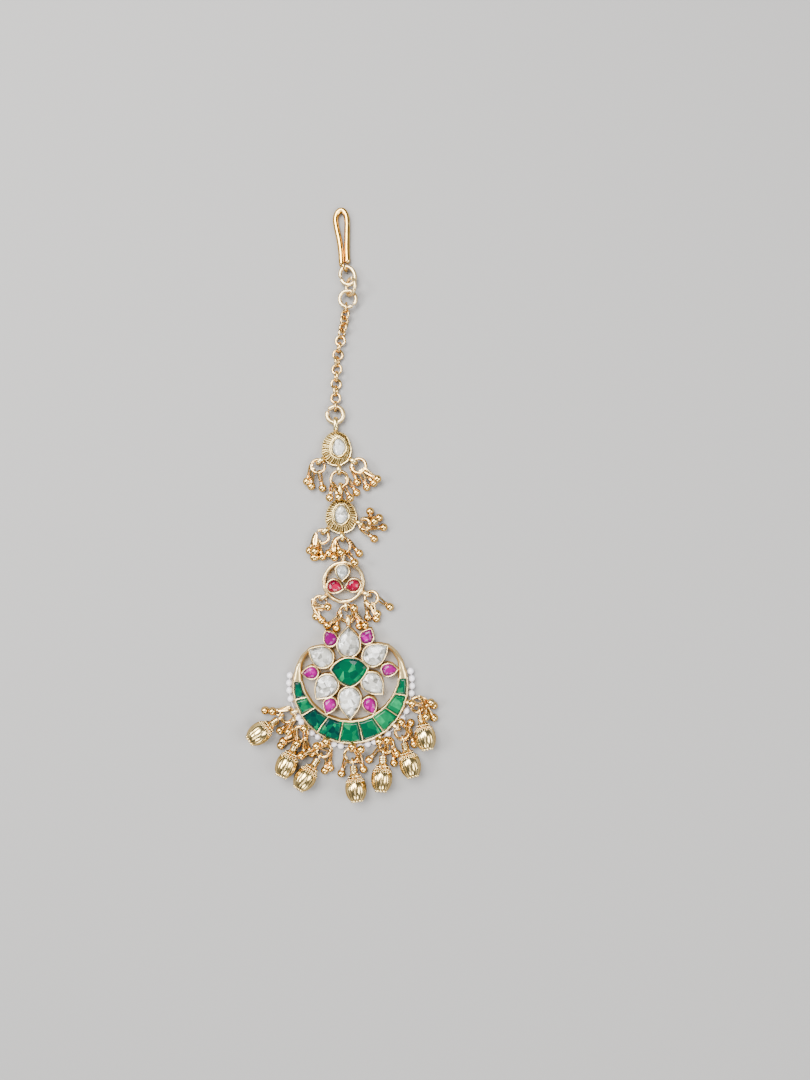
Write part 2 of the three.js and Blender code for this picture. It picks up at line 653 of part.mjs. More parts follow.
const whole = new THREE.Group();
whole.add(ornament);

export default whole;
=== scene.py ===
from math import asin, cos, degrees, pi, radians, sin

import bmesh
import bpy
import numpy as np
from mathutils import Matrix, Vector


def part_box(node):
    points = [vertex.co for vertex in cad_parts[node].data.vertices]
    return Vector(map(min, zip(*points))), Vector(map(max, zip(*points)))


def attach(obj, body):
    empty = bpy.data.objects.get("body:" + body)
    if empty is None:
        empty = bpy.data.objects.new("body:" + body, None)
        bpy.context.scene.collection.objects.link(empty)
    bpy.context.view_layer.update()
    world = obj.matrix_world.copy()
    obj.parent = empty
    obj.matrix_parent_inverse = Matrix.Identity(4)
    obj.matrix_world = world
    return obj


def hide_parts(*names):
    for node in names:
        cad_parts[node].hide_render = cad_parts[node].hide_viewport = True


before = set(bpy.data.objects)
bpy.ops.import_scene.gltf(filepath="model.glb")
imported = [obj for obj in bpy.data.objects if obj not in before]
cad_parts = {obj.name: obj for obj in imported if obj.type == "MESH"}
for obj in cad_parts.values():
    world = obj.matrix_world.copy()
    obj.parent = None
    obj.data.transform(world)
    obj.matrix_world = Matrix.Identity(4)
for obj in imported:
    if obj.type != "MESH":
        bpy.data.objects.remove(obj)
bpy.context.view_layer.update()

print("frame loaded:", len(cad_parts), "nodes")

# Layouts are in millimetres. The chain's end ring ties them to the model: shift is how far the ring's
# middle in the model is from its place in the layout.
chainEndRing = {"node": "chain_end_ring", "at": (-2.16, 23.4, 1.4), "radius": 2.07, "wire": 1.15}
low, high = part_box(chainEndRing["node"])
shift = np.array((low + high) / 2) * 1000 - chainEndRing["at"]
linkHeight = 1.4  # from the floor to the middle of a ring or bail
chance = np.random.default_rng(7)


# A part is points (n, 3), quads (m, 4) and a recess value for each point: 0 in the open, 1 in a groove.
# A grid of points becomes quads between neighbours: each row wraps round to its start, and closeRows
# joins the last row to the first.
def grid(points, recess=0, closeRows=False):
    rows, columns = points.shape[:2]
    i = np.arange(rows if closeRows else rows - 1)[:, None]
    j = np.arange(columns)[None, :]
    nextRow, nextColumn = (i + 1) % rows, (j + 1) % columns
    corners = [row * columns + column
               for row, column in ((i, j), (i, nextColumn), (nextRow, nextColumn), (nextRow, j))]
    depth = np.broadcast_to(recess, (rows, columns)).reshape(-1)
    return points.reshape(-1, 3), np.stack(corners, -1).reshape(-1, 4), depth


# Several parts as one: each part's quads count on from the points before them.
def joined(parts):
    starts = np.cumsum([0] + [len(points) for points, _, _ in parts])[:-1]
    quads = [part[1] + start for part, start in zip(parts, starts)]
    return (np.concatenate([part[0] for part in parts]), np.concatenate(quads),
            np.concatenate([part[2] for part in parts]))


def turning(axis, angle):
    return np.array(Matrix.Rotation(radians(angle), 3, axis))


# A part turned or stretched by a 3 x 3 matrix, then moved.
def moved(part, matrix, at=(0, 0, 0)):
    points, quads, recess = part
    return points @ matrix.T + np.array(at), quads, recess


# The point at a distance and a direction in degrees from a centre.
def polar(centre, reach, turn):
    return np.array([centre[0] + reach * cos(radians(turn)), centre[1] + reach * sin(radians(turn))])


# A round wire along a path that never runs straight up: every point of the path carries a circle square
# to the path's direction. Open ends close over a quarter circle.
def wire(path, diameter, closed=True, sides=12):
    step = np.roll(path, -1, 0) - np.roll(path, 1, 0) if closed else np.gradient(path, axis=0)
    step /= np.linalg.norm(step, axis=1)[:, None]
    across = np.cross(step, (0, 0, 1))
    across /= np.linalg.norm(across, axis=1)[:, None]
    rise = np.cross(across, step)
    radius = np.full(len(path), diameter / 2)
    if not closed:
        capRows = 4
        bend = np.linspace(0, pi / 2, capRows)[:, None]
        tail = path[-1] + np.sin(bend) * diameter / 2 * step[-1]
        head = path[0] - np.sin(bend[::-1]) * diameter / 2 * step[0]
        path = np.concatenate([head, path[1:-1], tail])
        taper = np.cos(bend[:, 0]) * diameter / 2
        radius = np.concatenate([taper[::-1], radius[1:-1], taper])
        across = np.concatenate([across[[0] * capRows], across[1:-1], across[[-1] * capRows]])
        rise = np.concatenate([rise[[0] * capRows], rise[1:-1], rise[[-1] * capRows]])
    angle = np.linspace(0, 2 * pi, sides, endpoint=False)[None, :, None]
    circle = np.cos(angle) * across[:, None] + np.sin(angle) * rise[:, None]
    return grid(path[:, None] + radius[:, None, None] * circle, closeRows=closed)


# A ring of round wire in the plane of X and Y. stretch lengthens it along X, and cut is the direction of
# the joint where a jump ring was bent shut: there each round end stops short by a little air.
def ring(radius, diameter, stretch=1, count=40, sides=12, cut=None):
    whole, air = cut is None, 0.05
    half = 0 if whole else (air + 0.5 * diameter) / (radius * stretch)
    angle = np.linspace(half, 2 * pi - half, count, endpoint=not whole) + radians(cut or 0)
    path = np.stack([radius * stretch * np.cos(angle), radius * np.sin(angle), 0 * angle], -1)
    return wire(path, diameter, whole, sides)


# A shape turned round +X: each row of the profile is a radius and a place along the axis.
def lathe(profile, sides, recess=0):
    profile = np.array(profile, float)
    angle = np.linspace(0, 2 * pi, sides, endpoint=False)
    radius, along = profile[:, :1], profile[:, 1:2]
    points = np.stack([along + 0 * angle, radius * np.cos(angle), radius * np.sin(angle)], -1)
    return grid(points, recess)


# A ball as a half circle turned round +X.
def ball(radius, rows, sides):
    bend = np.linspace(0, pi, rows)
    return lathe(np.stack([radius * np.sin(bend), -radius * np.cos(bend)], -1), sides)


# A smooth line through the given points: on each stretch a cubic whose slope at a point follows its
# two neighbours.
def smoothLine(points, count):
    given = np.array(points, float)
    given = np.concatenate([[2 * given[0] - given[1]], given, [2 * given[-1] - given[-2]]])
    place = np.linspace(0, len(points) - 1 - 1e-9, count)
    i = place.astype(int)
    t = (place - i)[:, None]
    a, b, c, d = given[i], given[i + 1], given[i + 2], given[i + 3]
    return 0.5 * (2 * b + (c - a) * t + (2 * a - 5 * b + 4 * c - d) * t**2 + (3 * b - a - 3 * c + d) * t**3)


# Points evenly spaced along a line; the last point is left out, so that another line can follow on.
def evenly(line, count):
    run = np.concatenate([[0], np.cumsum(np.linalg.norm(np.diff(line, axis=0), axis=1))])
    at = np.linspace(0, run[-1], count, endpoint=False)
    return np.stack([np.interp(at, run, line[:, k]) for k in range(line.shape[1])], -1)


# Outlines. A pear and an egg start at their tip and go round the left side first.

# A cubic curve from a to d that leaves towards b and arrives from c.
def bezier(a, b, c, d, count=40):
    t = np.linspace(0, 1, count)[:, None]
    a, b, c, d = np.array(a), np.array(b), np.array(c), np.array(d)
    return (1 - t)**3 * a + 3 * (1 - t)**2 * t * b + 3 * (1 - t) * t**2 * c + t**3 * d


# The left half of an ellipse's lower side, from its leftmost to its lowest point.
def bowl(middle, half, depth):
    angle = np.linspace(pi, 1.5 * pi, 40)
    return np.stack([half * np.cos(angle), middle + depth * np.sin(angle)], -1)


# A left side in two lines and its mirror image, as one closed outline.
def bothSides(upper, lower, count):
    left = np.concatenate([upper, lower[1:]])
    return np.concatenate([evenly(left, count // 2), evenly(left[::-1] * (-1, 1), count // 2)])


# A pear with its point towards +Y: a bow from the tip to the waist, then an ellipse.
def pear(width, length, count):
    half, tip = width / 2, length / 2
    waist = min(half - tip, -0.04 * length)
    rise = tip - waist
    bow = bezier((0, tip), (-0.16 * width, tip - 0.2 * rise), (-half, waist + 0.5 * rise), (-half, waist))
    return bothSides(bow, bowl(waist, half, waist + tip), count)


# An egg, narrower towards +Y by how far its shoulder lies from its middle line.
def egg(width, length, count, shoulder=0.3):
    middle = -0.06 * length
    half, tip = width / 2, length / 2
    bow = bezier((0, tip), (-shoulder * width, tip), (-half, 0.25 * length), (-half, middle))
    return bothSides(bow, bowl(middle, half, tip + middle), count)


def bluntPear(width, length, count):
    return egg(width, length, count, 0.12)


# An eye with points left and right, full above and with a shallow point below, from its left corner.
def eye(width, length, count):
    half, corner = width / 2, 0.08 * length
    left = bezier((-half, corner), (-0.38 * width, -0.2 * length), (-0.22 * width, -0.46 * length),
                  (0, -0.5 * length))
    lower = np.concatenate([left, left[-2::-1] * (-1, 1)])
    upper = bezier((half, corner), (0.3 * width, 0.6 * length), (-0.3 * width, 0.6 * length), (-half, corner),
                   80)
    return np.concatenate([evenly(lower, count // 2), evenly(upper, count // 2)])


# Points turned and moved to a place: a dictionary with x and y, and turn in degrees.
def placed(loop, place):
    return loop @ turning("Z", place.get("turn", 0))[:2, :2].T + (place.get("x", 0), place.get("y", 0))


# A place counted from its holder's middle, as a place on the ornament.
def within(place, holder):
    x, y = placed(np.array([place["x"], place["y"]]), holder)
    return {**place, "x": x, "y": y, "turn": place.get("turn", 0) + holder.get("turn", 0)}


# Parts made round their holder's middle, turned and moved to where the holder is.
def onto(holder, parts):
    matrix = turning("Z", holder.get("turn", 0))
    return [moved(part, matrix, (holder["x"], holder["y"], 0)) for part in parts]


# A closed solid of stacked outlines: each row is an outline, its height and its recess. The first and
# the last row are closed towards their middle.
def stack(rows):
    loops = [np.column_stack([loop, np.broadcast_to(height, len(loop))]) for loop, height, _ in rows]
    depths = [np.broadcast_to(depth, len(loop)) for loop, _, depth in rows]
    first, last = (np.broadcast_to(loop.mean(0), loop.shape) for loop in (loops[0], loops[-1]))
    return grid(np.stack([first, *loops, last]), np.stack([depths[0], *depths, depths[-1]]))


# A socket takes a plain value or another node's output.
def feed(tree, socket, value):
    if isinstance(value, bpy.types.NodeSocket):
        tree.links.new(value, socket)
    else:
        socket.default_value = value


# A shader node of one kind with its settings, then its inputs by name or number.
def addNode(tree, kind, inputs={}, **settings):
    node = tree.nodes.new("ShaderNode" + kind)
    for key, value in settings.items():
        setattr(node, key, value)
    for key, value in inputs.items():
        feed(tree, node.inputs[key], value)
    return node


# A group whose inputs have default values, and whose outputs are named with their kind of socket.
def newGroup(name, inputs, outputs):
    tree = bpy.data.node_groups.new(name, "ShaderNodeTree")
    for socketName, value in inputs.items():
        kind = "NodeSocketColor" if isinstance(value, tuple) else "NodeSocketFloat"
        tree.interface.new_socket(name=socketName, in_out="INPUT", socket_type=kind).default_value = value
    for socketName, kind in outputs.items():
        tree.interface.new_socket(name=socketName, in_out="OUTPUT", socket_type="NodeSocket" + kind)
    return tree, tree.nodes.new("NodeGroupInput").outputs, tree.nodes.new("NodeGroupOutput").inputs


def mathNode(tree, operation, *values, clamp=False):
    node = addNode(tree, "Math", dict(enumerate(values)), operation=operation, use_clamp=clamp)
    return node.outputs[0]


def vectorNode(tree, operation, inputs):
    return addNode(tree, "VectorMath", inputs, operation=operation).outputs[0]


def mixColor(tree, factor, a, b):
    node = addNode(tree, "Mix", data_type="RGBA", clamp_factor=True)
    for number, value in ((0, factor), (6, a), (7, b)):  # 6 and 7 are its two colours
        feed(tree, node.inputs[number], value)
    return node.outputs[2]


def noise(tree, scale, detail=3):
    place = addNode(tree, "TexCoord").outputs["Object"]
    inputs = {"Vector": place, "Scale": scale, "Detail": detail}
    return addNode(tree, "TexNoise", inputs).outputs["Fac"]


# Plated gold: slow changes of tone, its recesses darkened as tarnish and as painted shade (the recess value
# also carries painted shade on flanks and undersides), bright worn edges, and fine handling marks.
def goldToneGroup():
    tree, given, result = newGroup(
        "goldTone",
        {"Bright": (0.9, 0.7, 0.4, 1), "Deep": (0.6, 0.4, 0.15, 1), "Tarnish And Shade": (0.1, 0.05, 0.02, 1),
         "Recess": 0, "Roughness": 0.2},
        {"Color": "Color", "Roughness": "Float", "Height": "Float"})
    tone = mathNode(tree, "MULTIPLY_ADD", noise(tree, 260), 1.8, -0.45)
    body = mixColor(tree, tone, given["Bright"], given["Deep"])
    pointiness = addNode(tree, "NewGeometry").outputs["Pointiness"]
    edge = addNode(tree, "MapRange", {"Value": pointiness, "From Min": 0.52, "From Max": 0.6, "To Max": 0.6})
    worn = mixColor(tree, edge.outputs[0], body, (1.0, 0.84, 0.5, 1))
    # Tarnish and painted shade: the recess value darkens the colour towards the given dark colour.
    tarnishAndShadeAmount = mathNode(tree, "MULTIPLY", given["Recess"], 0.9)
    feed(tree, result["Color"], mixColor(tree, tarnishAndShadeAmount, worn, given["Tarnish And Shade"]))
    marks = noise(tree, 5200, 4)
    polish = mathNode(tree, "SUBTRACT", given["Roughness"], 0.06)
    rough = mathNode(tree, "MULTIPLY_ADD", marks, 0.12, polish)
    rougher = mathNode(tree, "MULTIPLY", given["Recess"], 0.3)
    feed(tree, result["Roughness"], mathNode(tree, "ADD", rough, rougher, clamp=True))
    dents = mathNode(tree, "MULTIPLY", noise(tree, 700, 1), 1.1)
    feed(tree, result["Height"], mathNode(tree, "ADD", marks, dents))
    return tree


# A stone over foil: cells whose tones are partly the stone's own mottling and partly painted facet
# reflections, each throwing the light its own way, with thin lines where they meet and painted shade under
# the setting's lip.
def foilFacetGroup():
    tree, given, result = newGroup(
        "foilFacets",
        {"Dark": (0.1, 0.1, 0.1, 1), "Middle": (0.5, 0.5, 0.5, 1), "Light": (0.9, 0.9, 0.9, 1),
         "Cell Scale": 700, "Spread": 0.35, "Seam": 0.3, "Margin": 0},
        {"Color": "Color", "Normal": "Vector"})
    place = addNode(tree, "TexCoord").outputs["Object"]
    layout = {"Vector": place, "Scale": given["Cell Scale"]}
    cells = addNode(tree, "TexVoronoi", layout).outputs["Color"]
    seams = addNode(tree, "TexVoronoi", layout, feature="DISTANCE_TO_EDGE").outputs["Distance"]
    # Each cell's tone, from dark through middle to light, is partly the stone's own mottling and partly
    # painted facet reflection.
    pick = addNode(tree, "SeparateColor", {0: cells}).outputs[0]
    lower = mathNode(tree, "MULTIPLY", pick, 2.2, clamp=True)
    upper = mathNode(tree, "MULTIPLY_ADD", pick, 2.2, -1.1, clamp=True)
    tone = mixColor(tree, lower, given["Dark"], given["Middle"])
    tone = mixColor(tree, upper, tone, given["Light"])
    cloud = mathNode(tree, "MULTIPLY_ADD", noise(tree, 900), 2.0, -0.65)
    tone = mixColor(tree, cloud, tone, given["Middle"])
    seam = addNode(tree, "MapRange",
                   {"Value": seams, "From Min": 0, "From Max": 0.04, "To Min": given["Seam"], "To Max": 0})
    tone = mixColor(tree, seam.outputs[0], tone, given["Light"])
    # Painted shade: the stone is darkened where it lies under the setting's lip.
    paintedShade = mathNode(tree, "MULTIPLY", given["Margin"], 0.7)
    feed(tree, result["Color"], mixColor(tree, paintedShade, tone, given["Dark"]))
    lean = vectorNode(tree, "SUBTRACT", {0: cells, 1: (0.5, 0.5, 0.5)})
    scaled = vectorNode(tree, "SCALE", {0: lean, "Scale": given["Spread"]})
    normal = addNode(tree, "NewGeometry").outputs["Normal"]
    total = vectorNode(tree, "ADD", {0: scaled, 1: normal})
    feed(tree, result["Normal"], vectorNode(tree, "NORMALIZE", {0: total}))
    return tree


goldTone = goldToneGroup()
foilFacets = foilFacetGroup()


def plainMaterial(name, surface):
    material = bpy.data.materials.new(name)
    material.use_nodes = True
    shader = material.node_tree.nodes["Principled BSDF"]
    for key, value in surface.items():
        shader.inputs[key].default_value = value
    return material, material.node_tree, shader


# A material with one of the groups above: the mesh's recess attribute feeds the socket named recessTo.
def groupMaterial(name, group, values, recessTo, surface):
    material, tree, shader = plainMaterial(name, surface)
    recess = addNode(tree, "Attribute", attribute_name="recess").outputs["Fac"]
    effect = addNode(tree, "Group", {**values, recessTo: recess}, node_tree=group).outputs
    feed(tree, shader.inputs["Base Color"], effect["Color"])
    return material, tree, shader, effect


def goldMaterial(name, bright, deep, tarnishAndShade, roughness):
    values = {"Bright": (*bright, 1), "Deep": (*deep, 1), "Tarnish And Shade": (*tarnishAndShade, 1), "Roughness": roughness}
    surface = {"Metallic": 1, "Specular Tint": (0.5, 0.3, 0.14, 1)}
    material, tree, shader, effect = groupMaterial(name, goldTone, values, "Recess", surface)
    relief = {"Strength": 0.16, "Distance": 0.00004, "Height": effect["Height"]}
    bump = addNode(tree, "Bump", relief)
    feed(tree, shader.inputs["Roughness"], effect["Roughness"])
    feed(tree, shader.inputs["Normal"], bump.outputs["Normal"])
    return material


def stoneMaterial(name, dark, middle, light, cell, spread, gloss, coat):
    values = {"Dark": (*dark, 1), "Middle": (*middle, 1), "Light": (*light, 1), "Cell Scale": 1000 / cell,
              "Spread": spread, "Seam": 0.1}
    surface = {"Roughness": 0.09, "Specular IOR Level": gloss, "Coat Weight": coat, "Coat Roughness": 0.03,
               "Coat IOR": 1.55}
    material, tree, shader, effect = groupMaterial(name, foilFacets, values, "Margin", surface)
    feed(tree, shader.inputs["Normal"], effect["Normal"])
    return material


def pearlMaterial():
    surface = {"Roughness": 0.28, "Coat Weight": 0.6, "Coat Roughness": 0.12, "Sheen Weight": 0.2}
    material, tree, shader = plainMaterial("pearl", surface)
    body = mixColor(tree, noise(tree, 900), (0.93, 0.89, 0.9, 1), (0.8, 0.76, 0.86, 1))
    feed(tree, shader.inputs["Base Color"], body)
    return material


# Each gold: its bright and deep tones, the colour of tarnish and painted shade in its recesses, its
# roughness, and its slot.
golds = {
    "paleGold": ((1.0, 0.77, 0.38), (0.9, 0.62, 0.25), (0.15, 0.065, 0.015), 0.31, "pale_gold"),
    "dropGold": ((1.0, 0.8, 0.37), (0.86, 0.58, 0.2), (0.08, 0.036, 0.008), 0.16, "pale_gold"),
    "struckGold": ((1.0, 0.79, 0.33), (0.84, 0.58, 0.18), (0.06, 0.028, 0.006), 0.27, "pale_gold"),
    "warmGold": ((1.0, 0.64, 0.17), (0.7, 0.37, 0.07), (0.07, 0.028, 0.006), 0.18, "gold"),
}
# Each stone: the dark, middle and light tone of its cells, partly its own mottling and partly painted facet
# reflections, a cell's width in millimetres, how far the cells lean, the shader's specular level and coat
# weight, and its slot.
stones = {
    "clearStone": ((0.03, 0.03, 0.026), (0.5, 0.485, 0.43), (1, 1, 0.97), 1.2, 0.75, 1, 0.7, "clear_stone"),
    "greyStone": ((0.02, 0.02, 0.02), (0.26, 0.27, 0.26), (0.75, 0.78, 0.76), 1, 0.6, 1, 0.7, "clear_stone"),
    "redStone": ((0.05, 0, 0.006), (0.21, 0, 0.022), (0.5, 0.005, 0.06), 1.3, 0.2, 0.25, 0.3, "red_stone"),
    "pinkStone": ((0.07, 0, 0.045), (0.19, 0, 0.11), (0.54, 0, 0.34), 1.6, 0.22, 0.15, 0.25, "pink_stone"),
    "greenStone": ((0, 0.009, 0.016), (0, 0.068, 0.028), (0, 0.25, 0.085), 2.2, 0.22, 0.12, 0.3,
                   "green_stone"),
    "deepGreen": ((0, 0.004, 0.012), (0, 0.034, 0.024), (0, 0.19, 0.065), 1.6, 0.22, 0.12, 0.3,
                  "green_stone"),
    "brightGreen": ((0, 0.03, 0.014), (0, 0.095, 0.034), (0, 0.26, 0.085), 2.4, 0.2, 0.12, 0.3,
                    "green_stone"),
}
materials = {name: goldMaterial(name, *look[:-1]) for name, look in golds.items()}
materials |= {name: stoneMaterial(name, *look[:-1]) for name, look in stones.items()}
materials["pearl"] = pearlMaterial()
print("materials made:", len(materials))


# Painted shade: the metal's flanks and underside are darkened by adding to its recess value, more the further
# a point faces away from up.
def paintShadeBelow(mesh, share=0.3):
    upward = np.zeros(3 * len(mesh.vertices), np.float32)
    depth = np.zeros(len(mesh.vertices), np.float32)
    mesh.vertex_normals.foreach_get("vector", upward)
    values = mesh.attributes["recess"].data
    values.foreach_get("value", depth)
    values.foreach_set("value", np.clip(depth + share * (1 - upward[2::3]), 0, 1))


def addObject(name, data):
    thing = bpy.data.objects.new(name, data)
    bpy.context.scene.collection.objects.link(thing)
    return thing


# hair_hook becomes hairHook.
def camel(node):
    words = node.split("_")
    return words[0] + "".join(word.capitalize() for word in words[1:])


# One object that stands for a node: seams and poles are merged, faces turned outwards, and corners
# sharper than crisp degrees kept. hand is how far it wanders in slow waves, as hand-made work does.
def makePiece(parts, material, node, crisp=38, hand=0):
    name = camel(node)
    points, quads, recess = joined(parts)
    if hand:
        crossed, waveLength = points[:, [1, 0]], 2.9
        sway = np.sin(crossed * 2 * pi / waveLength + (1.3, 0.4)) + 0.5 * np.sin(crossed * 5.1)
        points = points + np.column_stack([hand * sway, np.zeros(len(points))])
    mesh = bpy.data.meshes.new(name)
    mesh.from_pydata(((points + shift) * 0.001).tolist(), [], quads.tolist())
    mesh.attributes.new("recess", "FLOAT", "POINT").data.foreach_set("value", recess.astype(np.float32))
    work = bmesh.new()
    work.from_mesh(mesh)
    bmesh.ops.remove_doubles(work, verts=work.verts, dist=2e-7)
    bmesh.ops.recalc_face_normals(work, faces=work.faces)
    work.to_mesh(mesh)
    work.free()
    # Gold gets painted shade on its flanks and underside.
    if material.endswith("Gold"):
        paintShadeBelow(mesh)
    mesh.polygons.foreach_set("use_smooth", [crisp > 0] * len(mesh.polygons))
    if crisp > 0:
        mesh.set_sharp_from_angle(angle=radians(crisp))
    mesh.materials.append(materials[material])
    piece = addObject(name, mesh)
    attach(piece, "root")
    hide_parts(node)


hairHook = {
    "wire": 1.45, "height": 0.775, "count": 140,
    "route": [(0.98, 63.3), (0.8, 66), (0.84, 70), (0.85, 73.8), (0.35, 75.7), (-0.65, 76.4), (-1.7, 75.6),
              (-2.13, 73.9), (-1.79, 71.6), (-1.15, 68.6), (-0.75, 65.8), (-0.62, 63.8), (-0.52, 62.35)],
    "eye": {"x": 0.1, "y": 61.44, "turn": 125, "radius": 1.0, "wire": 0.68},
}
linkRings = [
    {"node": "hook_ring_oval", "at": (1.03, 59.225, 1.524), "radius": 1.85, "wire": 1.0, "stretch": 1.3,
     "turn": -72.1, "lean": 2.4, "cut": 272},
    {"node": "link_ring_upper", "at": (1.858, 56.216, 2.12), "radius": 2.1, "wire": 0.86, "lean": 54,
     "cut": 60},
    {"node": "link_ring_lower", "at": (1.09, 53.233, 1.615), "radius": 2.1, "wire": 0.9, "lean": 1.2,
     "cut": 310},
    {**chainEndRing, "cut": 150},
]


# Turns a ring's plane upright, with the ring's X along the direction turn.
def upright(turn):
    return turning("Z", turn) @ turning("X", 90)


def makeHairHook():
    route = smoothLine([(x, y, hairHook["height"]) for x, y in hairHook["route"]], hairHook["count"])
    hookEye = hairHook["eye"]
    loop = ring(hookEye["radius"], hookEye["wire"])
    parts = [wire(route, hairHook["wire"], closed=False, sides=20),
             moved(loop, upright(hookEye["turn"]), (hookEye["x"], hookEye["y"], linkHeight))]
    makePiece(parts, "warmGold", "hair_hook")


def makeLinkRing(layout):
    part = ring(layout["radius"], layout["wire"], layout.get("stretch", 1), 56, 16, layout["cut"])
    matrix = turning("Z", layout.get("turn", 0)) @ turning("Y", -layout.get("lean", 0))
    makePiece([moved(part, matrix, layout["at"])], "paleGold", layout["node"])


# Each link is its place along Y, its height and its roll: 0 lies flat, 90 stands on edge.
chain = {
    "width": 3.0, "wire": 0.66,
    "route": [(0.57, 50.95), (0.45, 49.95), (0.38, 49.1), (0.13, 47.4), (-0.3, 45.3), (-0.9, 42.4),
              (-1.5, 38.9), (-1.78, 35.3), (-1.98, 31.4), (-2.08, 27.8), (-2.12, 25.5)],
    "links": [(50.95, 1.5, 84), (49.25, 1.3, 38), (47.6, 1.4, -52), (46.0, 1.3, 42), (44.35, 1.4, -62),
              (42.6, 0.9, 9), (40.75, 1.5, 76), (38.9, 0.88, -8), (37.05, 1.5, -75), (35.2, 0.9, 12),
              (33.3, 1.5, 74), (31.4, 0.9, -10), (29.55, 1.5, -76), (27.7, 0.9, 10), (25.5, 1.5, 84)],
}


def makeChain():
    route = smoothLine(chain["route"], 300)
    courses = np.degrees(np.arctan2(*np.gradient(route, axis=0).T[::-1]))
    loop = ring((chain["width"] - chain["wire"]) / 2, chain["wire"], count=36)
    parts = []
    for y, height, roll in chain["links"]:
        k = np.abs(route[:, 1] - y).argmin()
        matrix = turning("Z", courses[k]) @ turning("X", roll)
        parts.append(moved(loop, matrix, (*route[k], height)))
    makePiece(parts, "warmGold", "chain")


makeHairHook()
for layout in linkRings:
    makeLinkRing(layout)
makeChain()
print("hook, rings and chain made")

# What the motifs and the pendant share. lip is how far a bezel's wall reaches in, floor and seat are the
# heights of its floor and of its stone's underside, and sway is how far hand-made settings wander.
bail = {"radius": 1.1, "wire": 0.6, "width": 1.05}
bezel = {"lip": 0.46, "floor": 0.95, "seat": 1.05, "sway": 0.035}


# An upright ring of flattened wire, whose plane holds the direction turn.
def bailPart(x, y, turn, stretch=1):
    widen = np.diag([1, 1, bail["width"] / bail["wire"]])
    return moved(ring(bail["radius"], bail["wire"], stretch, 32), upright(turn) @ widen, (x, y, linkHeight))


# A motif's bails round its middle: the upper and lower one stand along Y, the side ones point outwards.
def bailParts(motif):
    parts = [bailPart(*polar((0, 0), reach, turn), 90, stretch) for reach, turn, stretch in motif["bails"]]
    return parts + [bailPart(*polar((0, 0), reach, turn), turn) for reach, turn in motif["sideBails"]]


# Rows of a setting's wall: up the outside, over a rounded lip, and down to the floor under the stone.
def wallRows(outlineAt, foot, top):
    # The inside under the lip and the floor have recess values that darken them: tarnish and painted shade.
    sections = [(0, foot, 0), (0, top - 0.36, 0), (0.04, top - 0.15, 0), (0.12, top - 0.04, 0),
                (0.22, top, 0), (0.32, top - 0.03, 0), (0.4, top - 0.14, 0), (0.445, top - 0.32, 0.5),
                (bezel["lip"], bezel["floor"], 1)]
    return [(outlineAt(inset), height, depth) for inset, height, depth in sections]


# The outline of a place, as a function of how far it is set in.
def outlineOf(place, count=72):
    shape, width, length = place.get("shape", pear), place["width"], place["length"]
    return lambda inset: placed(shape(width - 2 * inset, length - 2.3 * inset, count), place)


# A bezel that stands by itself: a rounded foot, then its wall.
def bezelPart(outlineAt, top):
    return stack([(outlineAt(0.2), 0, 0), (outlineAt(0.03), 0.06, 0), *wallRows(outlineAt, 0.22, top)])


# A flat-cut stone: its girdle under the lip, two rows of uneven facets and a flat middle.
def cutStone(outlineAt, top, lip, steps, uneven=0.07):
    girdle = outlineAt(bezel["lip"])
    step = chance.uniform(-1, 1, len(girdle)) * uneven
    outer, inner, middle = (outlineAt(inset) for inset in steps)
    seat = bezel["seat"]
    # The recess values paint shade on the stone's sides and on its edge under the lip.
    return stack([(outer, seat, 1), (girdle, seat + 0.05, 1), (girdle, lip - 0.22, 1),
                  (outer, lip - 0.1, 0.8), (inner, 0.5 * (lip + top) + step, 0.25), (middle, top, 0)])


def pearStone(place, lip, top, material, node):
    half = min(place["width"], place["length"]) / 2
    start = bezel["lip"] + 0.06
    steps = (start, start + 0.22 * (half - start), start + 0.55 * (half - start))
    part = cutStone(outlineOf(place, 16), top, lip, steps)
    makePiece([part], material, node, crisp=0, hand=bezel["sway"])


# The two egg-shaped motifs. Each bail is its reach and direction from the motif's middle; the upper and
# lower ones also have their stretch.
eggMotifs = [
    {"name": "upper_motif", "x": -1.8, "y": 14.6, "width": 7.8, "length": 9.05,
     "bezel": {"x": 0.68, "y": 0.35, "width": 4.3, "length": 5.4, "shape": bluntPear},
     "bails": [(6.25, 92, 1.55), (5.45, 277, 1)], "sideBails": [(5.2, 217), (5.3, 323)]},
    {"name": "middle_motif", "x": -0.6, "y": -2.9, "width": 8.2, "length": 9,
     "bezel": {"x": 0.08, "y": 0.5, "width": 4.4, "length": 5.8, "shape": bluntPear},
     "bails": [(6.65, 92, 1.75), (5.2, 273, 1)], "sideBails": [(5.5, 222), (5, 340)]},
]
eggShape = {"rim": 1.75, "band": 2.25, "bezelTop": 3.1, "stoneTop": 3.5, "ridges": 36, "ridgeHeight": 0.4,
            "columns": 340}


